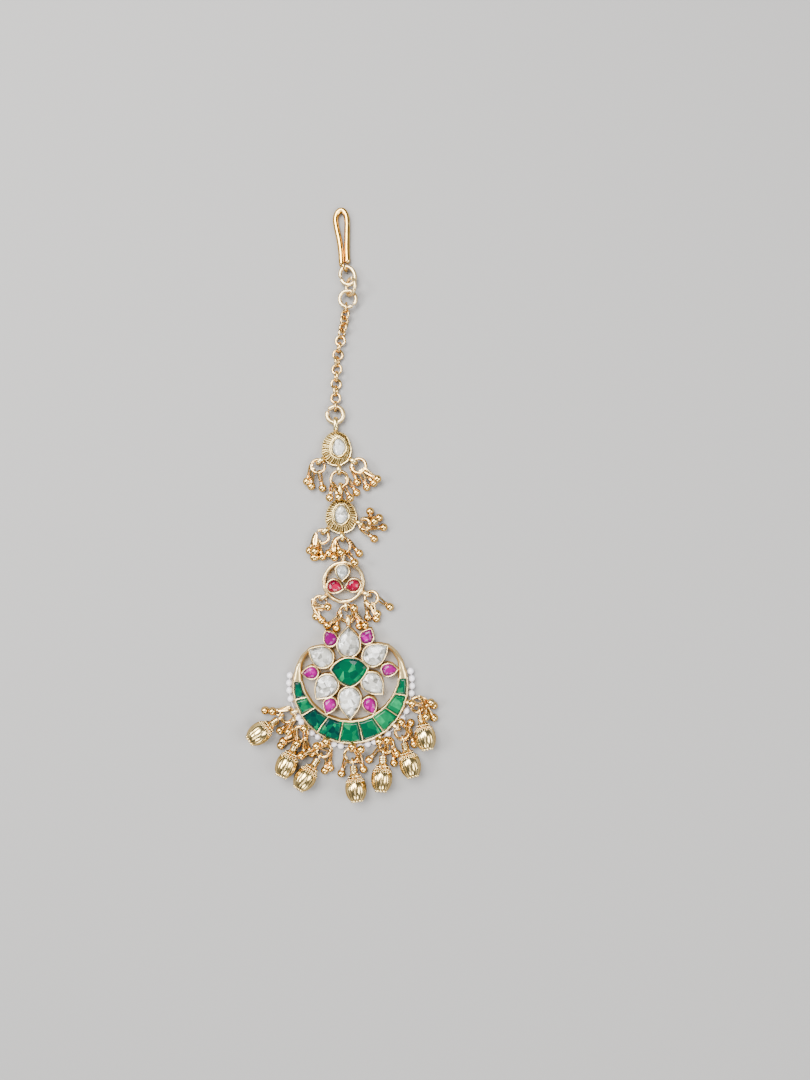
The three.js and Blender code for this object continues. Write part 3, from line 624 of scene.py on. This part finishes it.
# The plate and its band: inside a thin rim a border of struck strokes, then a plain slope that swells up
# to the stone's setting. Across a stroke u goes from -1 to 1, and the groove lies where it is near either.
def eggSetting(motif):
    columns, rim, band = eggShape["columns"], eggShape["rim"], eggShape["band"]
    inner = outlineOf(motif["bezel"], columns)

    def outer(inset):
        return egg(motif["width"] - 2 * inset, motif["length"] - 2 * inset, columns)

    rows = [(outer(0.25), 0, 0), (outer(0.03), 0.1, 0), (outer(0), 0.35, 0), (outer(0), rim - 0.26, 0),
            (outer(0.05), rim - 0.07, 0), (outer(0.14), rim, 0), (outer(0.27), rim - 0.02, 0)]
    place = np.arange(columns) * eggShape["ridges"] / columns
    u = 2 * (place % 1) - 1
    uneven = 0.85 + 0.15 * np.sin(3.7 * np.floor(place + 0.5))
    groove = np.clip((np.abs(u) - 0.25) / 0.4, 0, 1)**1.2 * uneven
    for share in np.linspace(0, 0.97, 20):
        loop = outer(0.34) * (1 - share) + inner(-0.08) * share
        height = rim - 0.08 + (band - rim) * sin(share * pi / 2)
        depth = groove * np.clip((0.86 - share) / 0.12, 0, 1) * np.clip(0.5 + share / 0.1, 0, 1)
        # The band is darkened a little all over and most in its strokes' grooves: tarnish and painted shade.
        rows.append((loop, height - eggShape["ridgeHeight"] * depth, 0.22 + 0.78 * depth))
    rows.append((inner(0.02), band - 0.25, 1))
    return stack(rows + wallRows(inner, band - 0.2, eggShape["bezelTop"]))


def makeEggMotif(motif):
    parts = onto(motif, [eggSetting(motif), *bailParts(motif)])
    makePiece(parts, "struckGold", motif["name"] + "_setting", hand=0.05)
    pearStone(within(motif["bezel"], motif), eggShape["bezelTop"], eggShape["stoneTop"], "clearStone",
              motif["name"] + "_stone")


for motif in eggMotifs:
    makeEggMotif(motif)
print("egg motifs made")

roundMotif = {
    "x": 0, "y": -19.84, "radius": 5.5, "wall": 0.95, "height": 2.3, "hammer": 0.022,
    "bails": [(6.75, 91, 1.35), (6.25, 276, 1)], "sideBails": [(6.5, 217), (6.6, 333)],
    "bezelTop": 2.7, "stoneTop": 3.1,
    "bezels": [
        {"x": -0.25, "y": 2.5, "width": 4, "length": 4.9, "turn": 180},
        {"x": -2.1, "y": -1.15, "width": 4, "length": 4.9, "turn": 253},
        {"x": 2.4, "y": -0.87, "width": 3.9, "length": 4.6, "turn": 108},
    ],
    "stones": [("greyStone", "clear_stone"), ("redStone", "red_stone_left"), ("redStone", "red_stone_right")],
}


# A closed ring whose section is a rectangle with round corners, its width and height a little uneven.
def hammeredRing(motif):
    radius, wall, height, hammer = motif["radius"], motif["wall"], motif["height"], motif["hammer"]
    turn = np.linspace(0, 2 * pi, 180, endpoint=False)[:, None]
    angle = np.linspace(0, 2 * pi, 28, endpoint=False)[None, :]
    squareness = 0.6  # 1 gives an ellipse, 0 a sharp rectangle
    across = np.sign(np.cos(angle)) * np.abs(np.cos(angle))**squareness
    rise = np.sign(np.sin(angle)) * np.abs(np.sin(angle))**squareness
    dent = hammer * (np.sin(9 * turn + 0.6) + 0.7 * np.sin(16 * turn) * np.sin(3 * turn))
    reach = radius - wall / 2 + (wall / 2 + dent) * across
    z = height / 2 + height / 2 * rise + np.where(rise > 0, dent, 0)
    points = np.stack([reach * np.cos(turn), reach * np.sin(turn), z + 0 * turn], -1)
    return grid(points, closeRows=True)


def makeRoundMotif():
    top, stoneTop = roundMotif["bezelTop"], roundMotif["stoneTop"]
    bezels = [bezelPart(outlineOf(place), top) for place in roundMotif["bezels"]]
    parts = onto(roundMotif, [hammeredRing(roundMotif), *bezels, *bailParts(roundMotif)])
    makePiece(parts, "paleGold", "round_motif_frame", hand=bezel["sway"])
    for place, (material, stone) in zip(roundMotif["bezels"], roundMotif["stones"]):
        pearStone(within(place, roundMotif), top, stoneTop, material, "round_motif_" + stone)


makeRoundMotif()
print("round motif made")

bead = {"reach": 4.1, "ball": 1.05, "wire": 0.54, "hookHalf": 0.66, "neckHalf": 0.28, "hole": 0.26,
        "collar": 0.42, "collarWire": 0.34}
jumpWire = 0.8


# A bead on a doubled wire, along +X from the wire it hooks on: a long loop that narrows towards the
# bead, a collar of two turns, and a hollow ball with a small hole at its end.
def beadDrop(roll):
    angle = np.linspace(0, 2 * pi, 30, endpoint=False)
    near, far = -0.5, bead["reach"] - bead["ball"] * 0.85
    share = 0.5 - 0.5 * np.cos(angle)
    half = bead["neckHalf"] + (bead["hookHalf"] - bead["neckHalf"]) * (1 - share)**1.8
    side = np.sign(np.sin(angle)) * np.abs(np.sin(angle))**0.75 * half
    loop = wire(np.stack([near + (far - near) * share, side, 0 * angle], -1), bead["wire"], sides=8)
    collar = ring(bead["collar"], bead["collarWire"], count=16, sides=8)
    quarter = turning("Y", 90)
    bend = np.linspace(0.06, pi - 0.27, 13)
    radius, reach = bead["ball"], bead["reach"]
    profile = [(0, reach - radius), *zip(radius * np.sin(bend), reach - radius * np.cos(bend)),
               (0.72 * bead["hole"], reach + 0.88 * radius), (0, reach + 0.8 * radius)]
    # The hole at the ball's end gets a high recess value, which darkens it: tarnish and painted shade.
    hollow = np.array([0.0] * (len(profile) - 2) + [0.8, 1.0])[:, None]
    return joined([moved(loop, turning("X", roll)), moved(collar, quarter, (far - 0.52, 0, 0)),
                   moved(collar, quarter, (far - 0.2, 0, 0)), lathe(profile, 20, hollow)])


# A jump ring through a bail at (x, y), reaching from there towards turn, with beads hooked on it. Each
# bead is its place round the ring and its direction, both in degrees from turn, and its ball's height.
def sprayParts(layout):
    radius, turn, lean = layout["radius"], layout["turn"], layout.get("lean", 0)
    level, rise = cos(radians(lean)), sin(radians(lean))
    start = (layout["x"], layout["y"])
    middle = polar(start, radius * level, turn)
    matrix = turning("Z", turn) @ turning("Y", -lean)
    loop = ring(radius, jumpWire, cut=chance.uniform(100, 260))
    parts = [moved(loop, matrix, (*middle, linkHeight + radius * rise))]
    for hook, out, height in layout["beads"]:
        along = radius * (1 + cos(radians(hook)))
        place = polar(polar(start, along * level, turn), radius * sin(radians(hook)), turn + 90)
        fromHeight = linkHeight + along * rise
        dip = degrees(asin((height - fromHeight) / bead["reach"]))
        matrix = turning("Z", turn + out) @ turning("Y", -dip)
        roll = chance.choice([-1, 1]) * chance.uniform(5, 45)
        parts.append(moved(beadDrop(roll), matrix, (*place, fromHeight)))
    return parts


# Where each jump ring starts, how far it leans upwards, and its beads.
motifSprays = [
    {"node": "upper_spray_left", "x": -6.13, "y": 11.7, "turn": 255, "radius": 1.75, "lean": 12,
     "beads": [(285, 358, 1.05), (326, 8, 1.2), (28, 25, 1.05)]},
    {"node": "upper_spray_right", "x": 2.51, "y": 11.35, "turn": 320, "radius": 1.85, "lean": 8,
     "beads": [(230, 330, 1.05), (330, 331, 1.05), (352, 351, 1.1), (4, 5, 2.2)]},
    {"node": "upper_spray_centre", "x": -1.13, "y": 8.85, "turn": 270, "radius": 2.15,
     "beads": [(306, 351, 3.3), (320, 25, 3.7), (32, 31, 3.4), (90, 34, 1.05)]},
    {"node": "middle_spray_left", "x": -4.69, "y": -6.58, "turn": 240, "radius": 1.75, "lean": 6,
     "beads": [(294, 8, 1.05), (292, 30, 2.6), (348, 22, 1.05), (350, 47, 1.1), (8, 8, 1.05)]},
    {"node": "middle_spray_right", "x": 4.13, "y": -4.67, "turn": 350, "radius": 1.4, "lean": 14,
     "beads": [(344, 98, 1.05), (116, 15, 1.05), (320, 14, 1.05), (248, 331, 1.05), (248, 41, 3.2)]},
    {"node": "middle_spray_centre", "x": -0.49, "y": -8.25, "turn": 270, "radius": 2.2,
     "beads": [(220, 332, 1.3), (238, 33, 3.6), (122, 40, 1.05), (40, 39, 3.8), (242, 2, 2.2)]},
    {"node": "round_spray_left", "x": -5.19, "y": -23.69, "turn": 240, "radius": 1.75, "lean": 6,
     "beads": [(325, 118, 3.4), (284, 38, 1.05), (332, 57, 1.05)]},
    {"node": "round_spray_right", "x": 5.95, "y": -22.85, "turn": 320, "radius": 1.75, "lean": 20,
     "beads": [(36, 3, 1.05), (264, 353, 1.1), (320, 325, 1.05), (256, 316, 1.05)]},
    {"node": "round_spray_centre", "x": 0.81, "y": -25.82, "turn": 275, "radius": 2.1,
     "beads": [(25, 162, 3.6), (282, 303, 1.05), (260, 343, 1.05), (104, 10, 1.05), (90, 33, 2.4)]},
]

for layout in motifSprays:
    makePiece(sprayParts(layout), "warmGold", layout["node"])
print("motif sprays made")

# The pendant's loops are directions round its edge. Angles are in degrees from its own X.
pendant = {"x": 1.79, "y": -46.48, "turn": 2, "radius": 14.9, "loopReach": 15.85,
           "loops": [203, 222, 245, 269, 298, 316, 342], "bail": {"y": 16.6, "stretch": 1.3}}
crescent = {
    "innerRadius": 12.5, "offset": 3.6, "top": 2.6, "stoneTop": 2.9, "outerWall": 0.45, "innerWall": 0.48,
    "barHalf": 0.85, "hornEnd": 44, "hornInner": 13.7, "hornDrop": 0.5,
    "joints": [172.5, 192.3, 209.7, 232.5, 256.7, 280.8, 303.7, 325.8, 348.2, 367.2],
    "tones": ["deepGreen", "greenStone", "deepGreen", "deepGreen", "greenStone", "greenStone", "brightGreen",
              "brightGreen", "greenStone"],
}
# The flower's own width, length and heights are those of the eye in its middle.
flower = {"x": 0, "y": 3.77, "width": 10.3, "length": 8.2, "top": 3.4, "stoneTop": 3.9, "petalTop": 3,
          "petalStoneTop": 3.4}
# Each petal: its middle's distance and direction from the flower's, its tip's direction, width and length.
clearPetals = [(7.6, 90, 90, 6.5, 8.5), (8.52, 150.1, 148, 6, 7.5), (7.56, 211.6, 228, 6.2, 8),
               (8.15, 267.9, 269, 6.3, 9), (6.96, 329.7, 311, 5.8, 7.4), (8.16, 32.2, 32, 6, 8)]
pinkPetals = [(9.96, 118.9, 119, 4, 4.9), (10.2, 179.9, 181, 3.8, 4.8), (10.26, 237.7, 246, 3.9, 5),
              (10.25, 298.9, 291, 4, 5.1), (10.25, 0.4, 0, 3.8, 4.8), (10.14, 61.6, 61, 4, 4.8)]


# A petal's place on the pendant; its outline's tip is turned to point.
def petalPlace(reach, at, point, width, length):
    x, y = polar((flower["x"], flower["y"]), reach, at)
    return {"x": x, "y": y, "turn": point - 90, "width": width, "length": length}


# How far out a ray from the pendant's middle at the given angles meets a circle round (0, offset).
def innerReach(angle, inner):
    return crescent["offset"] * np.sin(angle) + np.sqrt(inner**2 - (crescent["offset"] * np.cos(angle))**2)


# Points at the given angles and distances from the pendant's middle.
def ray(angle, reach):
    return np.stack([reach * np.cos(angle), reach * np.sin(angle)], -1)


# A bar between two edge lines, with rounded upper edges; each end is closed flat. A line along it lies by
# edge 0 or 1, a distance in from it, at its height.
def bar(edgeA, edgeB, foot, top, rounding=0.18):
    gap = edgeB - edgeA
    width = np.linalg.norm(gap, axis=1)[:, None]
    unit = gap / np.maximum(width, 1e-6)
    bends = np.linspace(0, pi / 2, 5)
    corner = [(rounding * (1 - cos(bend)), top - rounding * (1 - sin(bend))) for bend in bends]
    sections = [(0, 0, foot), *((0, *place) for place in corner), *((1, *place) for place in corner[::-1]),
                (1, 0, foot)]
    rows = []
    for side, inset, height in sections:
        back = np.minimum(inset, width / 2)
        line = edgeB - unit * back if side else edgeA + unit * back
        rows.append(np.column_stack([line, np.full(len(line), height)]))
    points = np.stack(rows, 1)
    ends = [np.broadcast_to(points[k].mean(0), points[k].shape)[None] for k in (0, -1)]
    return grid(np.concatenate([ends[0], points, ends[1]]))


# A horn from its joint to its end on a petal's tip: its inner edge follows the crescent's until hornInner,
# and its outer edge bends inwards over the last stretch.
def hornPart(start, end):
    angle = np.radians(np.linspace(start, end, 60))
    above = np.maximum(pi - angle, angle - 2 * pi) / radians(crescent["hornEnd"])
    bendFrom = 0.62
    bend = np.maximum(0, above - bendFrom) / (1 - bendFrom)
    outer = pendant["radius"] - crescent["hornDrop"] * bend**2
    inner = np.minimum(innerReach(angle, crescent["innerRadius"]), crescent["hornInner"])
    return bar(ray(angle, outer), ray(angle, inner), 0, crescent["top"], 0.8)


# The crescent: a floor under the stones, walls along both edges, bars between the stones, and a plain
# horn at either end.
def crescentParts():
    radius, inner, top = pendant["radius"], crescent["innerRadius"], crescent["top"]
    joints, hornEnd = crescent["joints"], crescent["hornEnd"]
    tuck = 0.2  # how far the floor and the bars end inside the walls
    wide = np.radians(np.linspace(joints[0] - 1, joints[-1] + 1, 90))
    angle = np.radians(np.linspace(joints[0], joints[-1], 140))
    parts = [bar(ray(wide, radius - tuck), ray(wide, innerReach(wide, inner + tuck)), 0, bezel["floor"]),
             hornPart(180 - hornEnd, joints[0] + 1), hornPart(joints[-1] - 1, 360 + hornEnd),
             bar(ray(angle, radius), ray(angle, radius - crescent["outerWall"]), 0, top),
             bar(ray(angle, innerReach(angle, inner + crescent["innerWall"])),
                 ray(angle, innerReach(angle, inner)), 0, top)]
    for joint in joints[1:-1]:
        sides = np.radians([joint - crescent["barHalf"], joint + crescent["barHalf"]])
        reach = np.linspace(innerReach(sides.mean(), inner) + tuck, radius - tuck, 6)
        parts.append(bar(ray(sides[0], reach), ray(sides[1], reach), 0.5, top - 0.06))
    return parts


# The centre stone's outline, as a function of how far it is set in.
def eyeAt(count=80):
    return lambda inset: placed(eye(flower["width"] - 3 * inset, flower["length"] - 2 * inset, count), flower)


def makePendantFrame():
    parts = crescentParts()
    for petal in clearPetals + pinkPetals:
        parts.append(bezelPart(outlineOf(petalPlace(*petal)), flower["petalTop"]))
    parts.append(bezelPart(eyeAt(), flower["top"]))
    parts += [bailPart(*polar((0, 0), pendant["loopReach"], turn), turn) for turn in pendant["loops"]]
    parts.append(bailPart(0, pendant["bail"]["y"], 90, pendant["bail"]["stretch"]))
    makePiece(onto(pendant, parts), "paleGold", "pendant_frame", hand=bezel["sway"])


# A stone of the crescent: its outline follows the two walls, set back from them and from its bars.
def cellAt(a, b):
    count, meanReach = 8, 14

    def outlineAt(inset):
        outer = pendant["radius"] - crescent["outerWall"] - inset
        inner = crescent["innerRadius"] + crescent["innerWall"] + inset
        trim = crescent["barHalf"] + degrees(inset / meanReach)
        angle = np.radians(np.linspace(a + trim, b - trim, count))
        back = angle[::-1]
        reach = np.minimum(innerReach(back, inner), outer - 0.02)
        return np.concatenate([ray(angle, outer), ray(back, reach)])

    return outlineAt


def makePetalStones(kind, petals):
    for number, petal in enumerate(petals, 1):
        pearStone(within(petalPlace(*petal), pendant), flower["petalTop"], flower["petalStoneTop"],
                  kind + "Stone", f"{kind}_petal_{number}")


def makeCentreStone():
    steps = (0.52, 0.95, 2.9)  # how far its rows of facets are set in
    part = cutStone(eyeAt(24), flower["stoneTop"], flower["top"], steps, 0.03)
    makePiece(onto(pendant, [part]), "greenStone", "centre_stone", crisp=0, hand=bezel["sway"])


def makeCrescentStones():
    joints, seat, lip, top = crescent["joints"], bezel["seat"], crescent["top"], crescent["stoneTop"]
    for number, (a, b, tone) in enumerate(zip(joints, joints[1:], crescent["tones"]), 1):
        outlineAt = cellAt(a, b)
        # The recess values paint shade on the stone's sides and on its edge under the lip.
        rows = [(0.1, seat, 1), (-0.02, seat + 0.05, 1), (-0.02, lip - 0.3, 1), (0.06, lip - 0.12, 0.7),
                (0.42, top - 0.04, 0), (0.55, top, 0)]
        part = stack([(outlineAt(inset), height, depth) for inset, height, depth in rows])
        makePiece(onto(pendant, [part]), tone, f"crescent_stone_{number}", crisp=0, hand=bezel["sway"])


makePendantFrame()
makePetalStones("clear", clearPetals)
makePetalStones("pink", pinkPetals)
makeCentreStone()
makeCrescentStones()
print("pendant made")

pearls = {
    "radius": 0.85, "height": 0.9, "wire": 0.22, "gap": 0.15, "arc": (166, 374),
    "turns": [169, 176, 183, 191, 210, 215, 229, 236, 252, 259,
              276, 284, 291, 305, 325, 333, 350, 357, 4, 11],
}


# Pearls on a fine wire round the pendant's edge, each a little out of round.
def makePearls():
    radius, height = pearls["radius"], pearls["height"]
    reach = pendant["radius"] + radius + pearls["gap"]
    angle = np.radians(np.linspace(*pearls["arc"], 160))
    route = np.column_stack([ray(angle, reach), np.full(len(angle), height)])
    parts = [wire(route, pearls["wire"], closed=False, sides=6)]
    for turn in pearls["turns"]:
        matrix = turning("Z", turn + 90) @ np.diag(chance.uniform(0.94, 1.02, 3))
        parts.append(moved(ball(radius, 12, 18), matrix, (*polar((0, 0), reach, turn), height)))
    makePiece(onto(pendant, parts), "pearl", "pearl_string")


makePearls()
print("pearls made")

drop = {"reach": 6.9, "radius": 2.85, "half": 3.2, "ribs": 12, "ribDepth": 0.055, "stem": 0.9, "grain": 0.26,
        "tipBead": 0.36, "eye": 0.95}


# A row of small balls round +X, at one place along it.
def beadRow(radius, along, reach, count):
    grain = moved(ball(radius, 8, 12), np.eye(3), (along, reach, 0))
    return [moved(grain, turning("X", 360 * (k + 0.5) / count)) for k in range(count)]


# A drop along +X: an eye, a stem with three turned rings, a collar of grains, and a bud, fullest towards
# its end, whose ribs are parted by grooves that open out to a row of beads round a hollow.
def flutedDrop():
    start, end = drop["reach"] - drop["half"], drop["reach"] + drop["half"]
    stem, ribs = drop["stem"], drop["ribs"]
    turned = [(0, 0.75), (0.6 * stem, 0.78), (stem, 0.95)]
    fillet = 1.14 * stem
    for along in (1.15, 1.65, 2.15):
        turned += [(stem, along), (fillet, along + 0.08), (fillet, along + 0.22), (stem, along + 0.3)]
    turned += [(stem, 2.75), (1.35, start - 0.45), (1.6, start - 0.25), (1.6, start), (1.3, start + 0.2),
               (0, start + 0.25)]
    turned = np.array(turned)
    # Between the stem's rings the recess value darkens the gold: tarnish and painted shade.
    narrow = (turned[:, 0] < 1.01 * stem) & (turned[:, 1] > 1) & (turned[:, 1] < 2.7)
    parts = [lathe(turned, 28, np.where(narrow, 0.7, 0)[:, None])]
    parts += beadRow(drop["grain"], start - 0.12, 1.6, ribs)
    share = np.linspace(0, 1, 34)[:, None]
    bend = share * 0.92 * pi + 0.05 * pi
    along = drop["reach"] - 0.1 - (drop["half"] - 0.15) * np.cos(bend)
    radius = drop["radius"] * np.sin(bend)**0.68 * (0.96 + 0.05 * np.cos(bend))
    angle = np.linspace(0, 2 * pi, 12 * ribs, endpoint=False)[None, :]
    crease = (1 - np.abs(np.sin(ribs * angle / 2)))**1.8
    fade = np.clip(4 * share - 1.2, 0, 1) * np.clip(5 * (1 - share), 0, 1)
    reach = radius * (1 - drop["ribDepth"] * crease * fade)
    points = np.stack([along + 0 * angle, reach * np.cos(angle), reach * np.sin(angle)], -1)
    closing = np.broadcast_to((start + 0.1, 0, 0), points[:1].shape)
    hollow = np.broadcast_to((end - 0.9, 0, 0), points[:1].shape)
    # The ribs' grooves and the hollow at the end are darkened through the recess value: tarnish and painted
    # shade.
    depth = np.concatenate([0 * angle, 0.9 * crease * fade, 0 * angle + 1])
    parts.append(grid(np.concatenate([closing, points, hollow]), depth))
    for row, count in ((4, 20), (6, 24), (8, 24)):  # fine grains on the bud's shoulder
        parts += beadRow(0.21, along[row, 0], radius[row, 0] - 0.03, count)
    parts += beadRow(drop["tipBead"], end - 0.5, 1.3, 10)
    loop = ring(drop["eye"], bail["wire"], count=28, sides=10)
    parts.append(moved(loop, turning("X", 90)))
    return joined(parts)


# One ring for each of the pendant's loops: which spray it belongs to, where it reaches from the loop,
# where the drop's eye is round its middle, and where the drop points. Its beads are like a motif spray's.
hangers = [
    {"spray": "drop_spray_a", "toward": 210, "hook": 196, "axis": 216,
     "beads": [(318, 318, 1.1), (234, 339, 2.2), (100, 9, 1.05), (140, 38, 3)]},
    {"spray": "drop_spray_b", "toward": 224, "hook": 246, "axis": 246,
     "beads": [(286, 1, 1.05), (348, 347, 1.05), (90, 39, 1.05), (92, 227, 3.9), (264, 56, 3.6),
               (76, 77, 1.05)]},
    {"spray": "drop_spray_b", "toward": 247, "hook": 241, "axis": 236,
     "beads": [(291, 312, 2.7), (112, 271, 3.2), (62, 12, 1.05), (92, 23, 1.05), (276, 151, 3.6)]},
    {"spray": "drop_spray_c", "toward": 271, "hook": 278, "axis": 278,
     "beads": [(296, 344, 1.05), (40, 159, 3.3), (96, 15, 1.05), (80, 207, 3.6)]},
    {"spray": "drop_spray_d", "toward": 305, "hook": 247, "axis": 267,
     "beads": [(254, 285, 1.05), (40, 329, 1.05), (92, 226, 3.9), (324, 140, 3.2), (108, 350, 1.05)]},
    {"spray": "drop_spray_e", "toward": 318, "hook": 276, "axis": 286,
     "beads": [(64, 330, 1.05), (44, 169, 3.3), (344, 116, 1.1)]},
    {"spray": "drop_spray_f", "toward": 344, "hook": 287, "axis": 282,
     "beads": [(86, 346, 1.05), (12, 321, 1.05), (302, 58, 2.8), (44, 293, 3.4), (12, 182, 3.6)]},
]
hanging = {"radius": 1.87, "grip": 0.33}  # grip is from a loop's middle out to the ring's start


def makeDrops():
    sprays = {}
    melon = flutedDrop()
    radius, start = hanging["radius"], pendant["loopReach"] + hanging["grip"]
    dip = degrees(asin((drop["radius"] - linkHeight) / drop["reach"]))
    for number, (hanger, loop) in enumerate(zip(hangers, pendant["loops"]), 1):
        grip = polar((pendant["x"], pendant["y"]), start, loop + pendant["turn"])
        place = polar(polar(grip, radius, hanger["toward"]), radius, hanger["hook"])
        matrix = turning("Z", hanger["axis"]) @ turning("Y", -dip)
        makePiece([moved(melon, matrix, (*place, linkHeight))], "dropGold", f"fluted_drop_{number}", crisp=50)
        layout = {"x": grip[0], "y": grip[1], "turn": hanger["toward"], "radius": radius,
                  "beads": hanger["beads"]}
        sprays.setdefault(hanger["spray"], []).extend(sprayParts(layout))
    for node, parts in sprays.items():
        makePiece(parts, "warmGold", node)


makeDrops()
print("drops made")

# The studio, in metres and watts, with the lamps round the ornament's middle.
studio = {"floor": 1.6, "floorColor": (0.302, 0.295, 0.288, 1), "floorRoughness": 0.85, "world": 0.13}


def makeFloor():
    half = studio["floor"] / 2
    mesh = bpy.data.meshes.new("floor")
    corners = [(-half, -half, 0), (half, -half, 0), (half, half, 0), (-half, half, 0)]
    mesh.from_pydata(corners, [], [(0, 1, 2, 3)])
    surface = {"Base Color": studio["floorColor"], "Roughness": studio["floorRoughness"]}
    mesh.materials.append(plainMaterial("floorPaper", surface)[0])
    floor = addObject("floor", mesh)


lamps = [
    {"name": "overheadLight", "at": (-0.16, 0.25, 0.54), "size": 0.36, "power": 9.2},
    {"name": "keyLight", "at": (-0.42, 0.02, 0.4), "size": 0.18, "power": 3.1},
    {"name": "fillLight", "at": (0.38, -0.06, 0.4), "size": 0.3, "power": 3},
    {"name": "lowLight", "at": (0.04, -0.46, 0.34), "size": 0.24, "power": 2.1},
]


def makeLights():
    world = bpy.data.worlds.new("studioWorld")
    world.use_nodes = True
    background = world.node_tree.nodes["Background"].inputs
    background["Color"].default_value = (0.95, 0.97, 1, 1)
    background["Strength"].default_value = studio["world"]
    bpy.context.scene.world = world
    for lamp in lamps:
        light = bpy.data.lights.new(lamp["name"], "AREA")
        light.size = lamp["size"]
        light.energy = lamp["power"]
        holder = addObject(lamp["name"], light)
        holder.location = lamp["at"]
        holder.rotation_euler = (-Vector(lamp["at"])).to_track_quat("-Z", "Y").to_euler()


# The camera looks straight down; middle is the layout's point under it, in millimetres.
view = {"lens": 27, "sensor": 36, "height": 0.2106, "middle": (15.86, -8.97)}


def makeCamera():
    camera = bpy.data.cameras.new("camera")
    camera.lens = view["lens"]
    camera.sensor_width = view["sensor"]
    camera.clip_start = 0.01
    holder = addObject("camera", camera)
    x, y = (np.array(view["middle"]) + shift[:2]) * 0.001
    holder.location = (x, y, view["height"])
    bpy.context.scene.camera = holder


makeFloor()
makeLights()
makeCamera()
print("studio set")
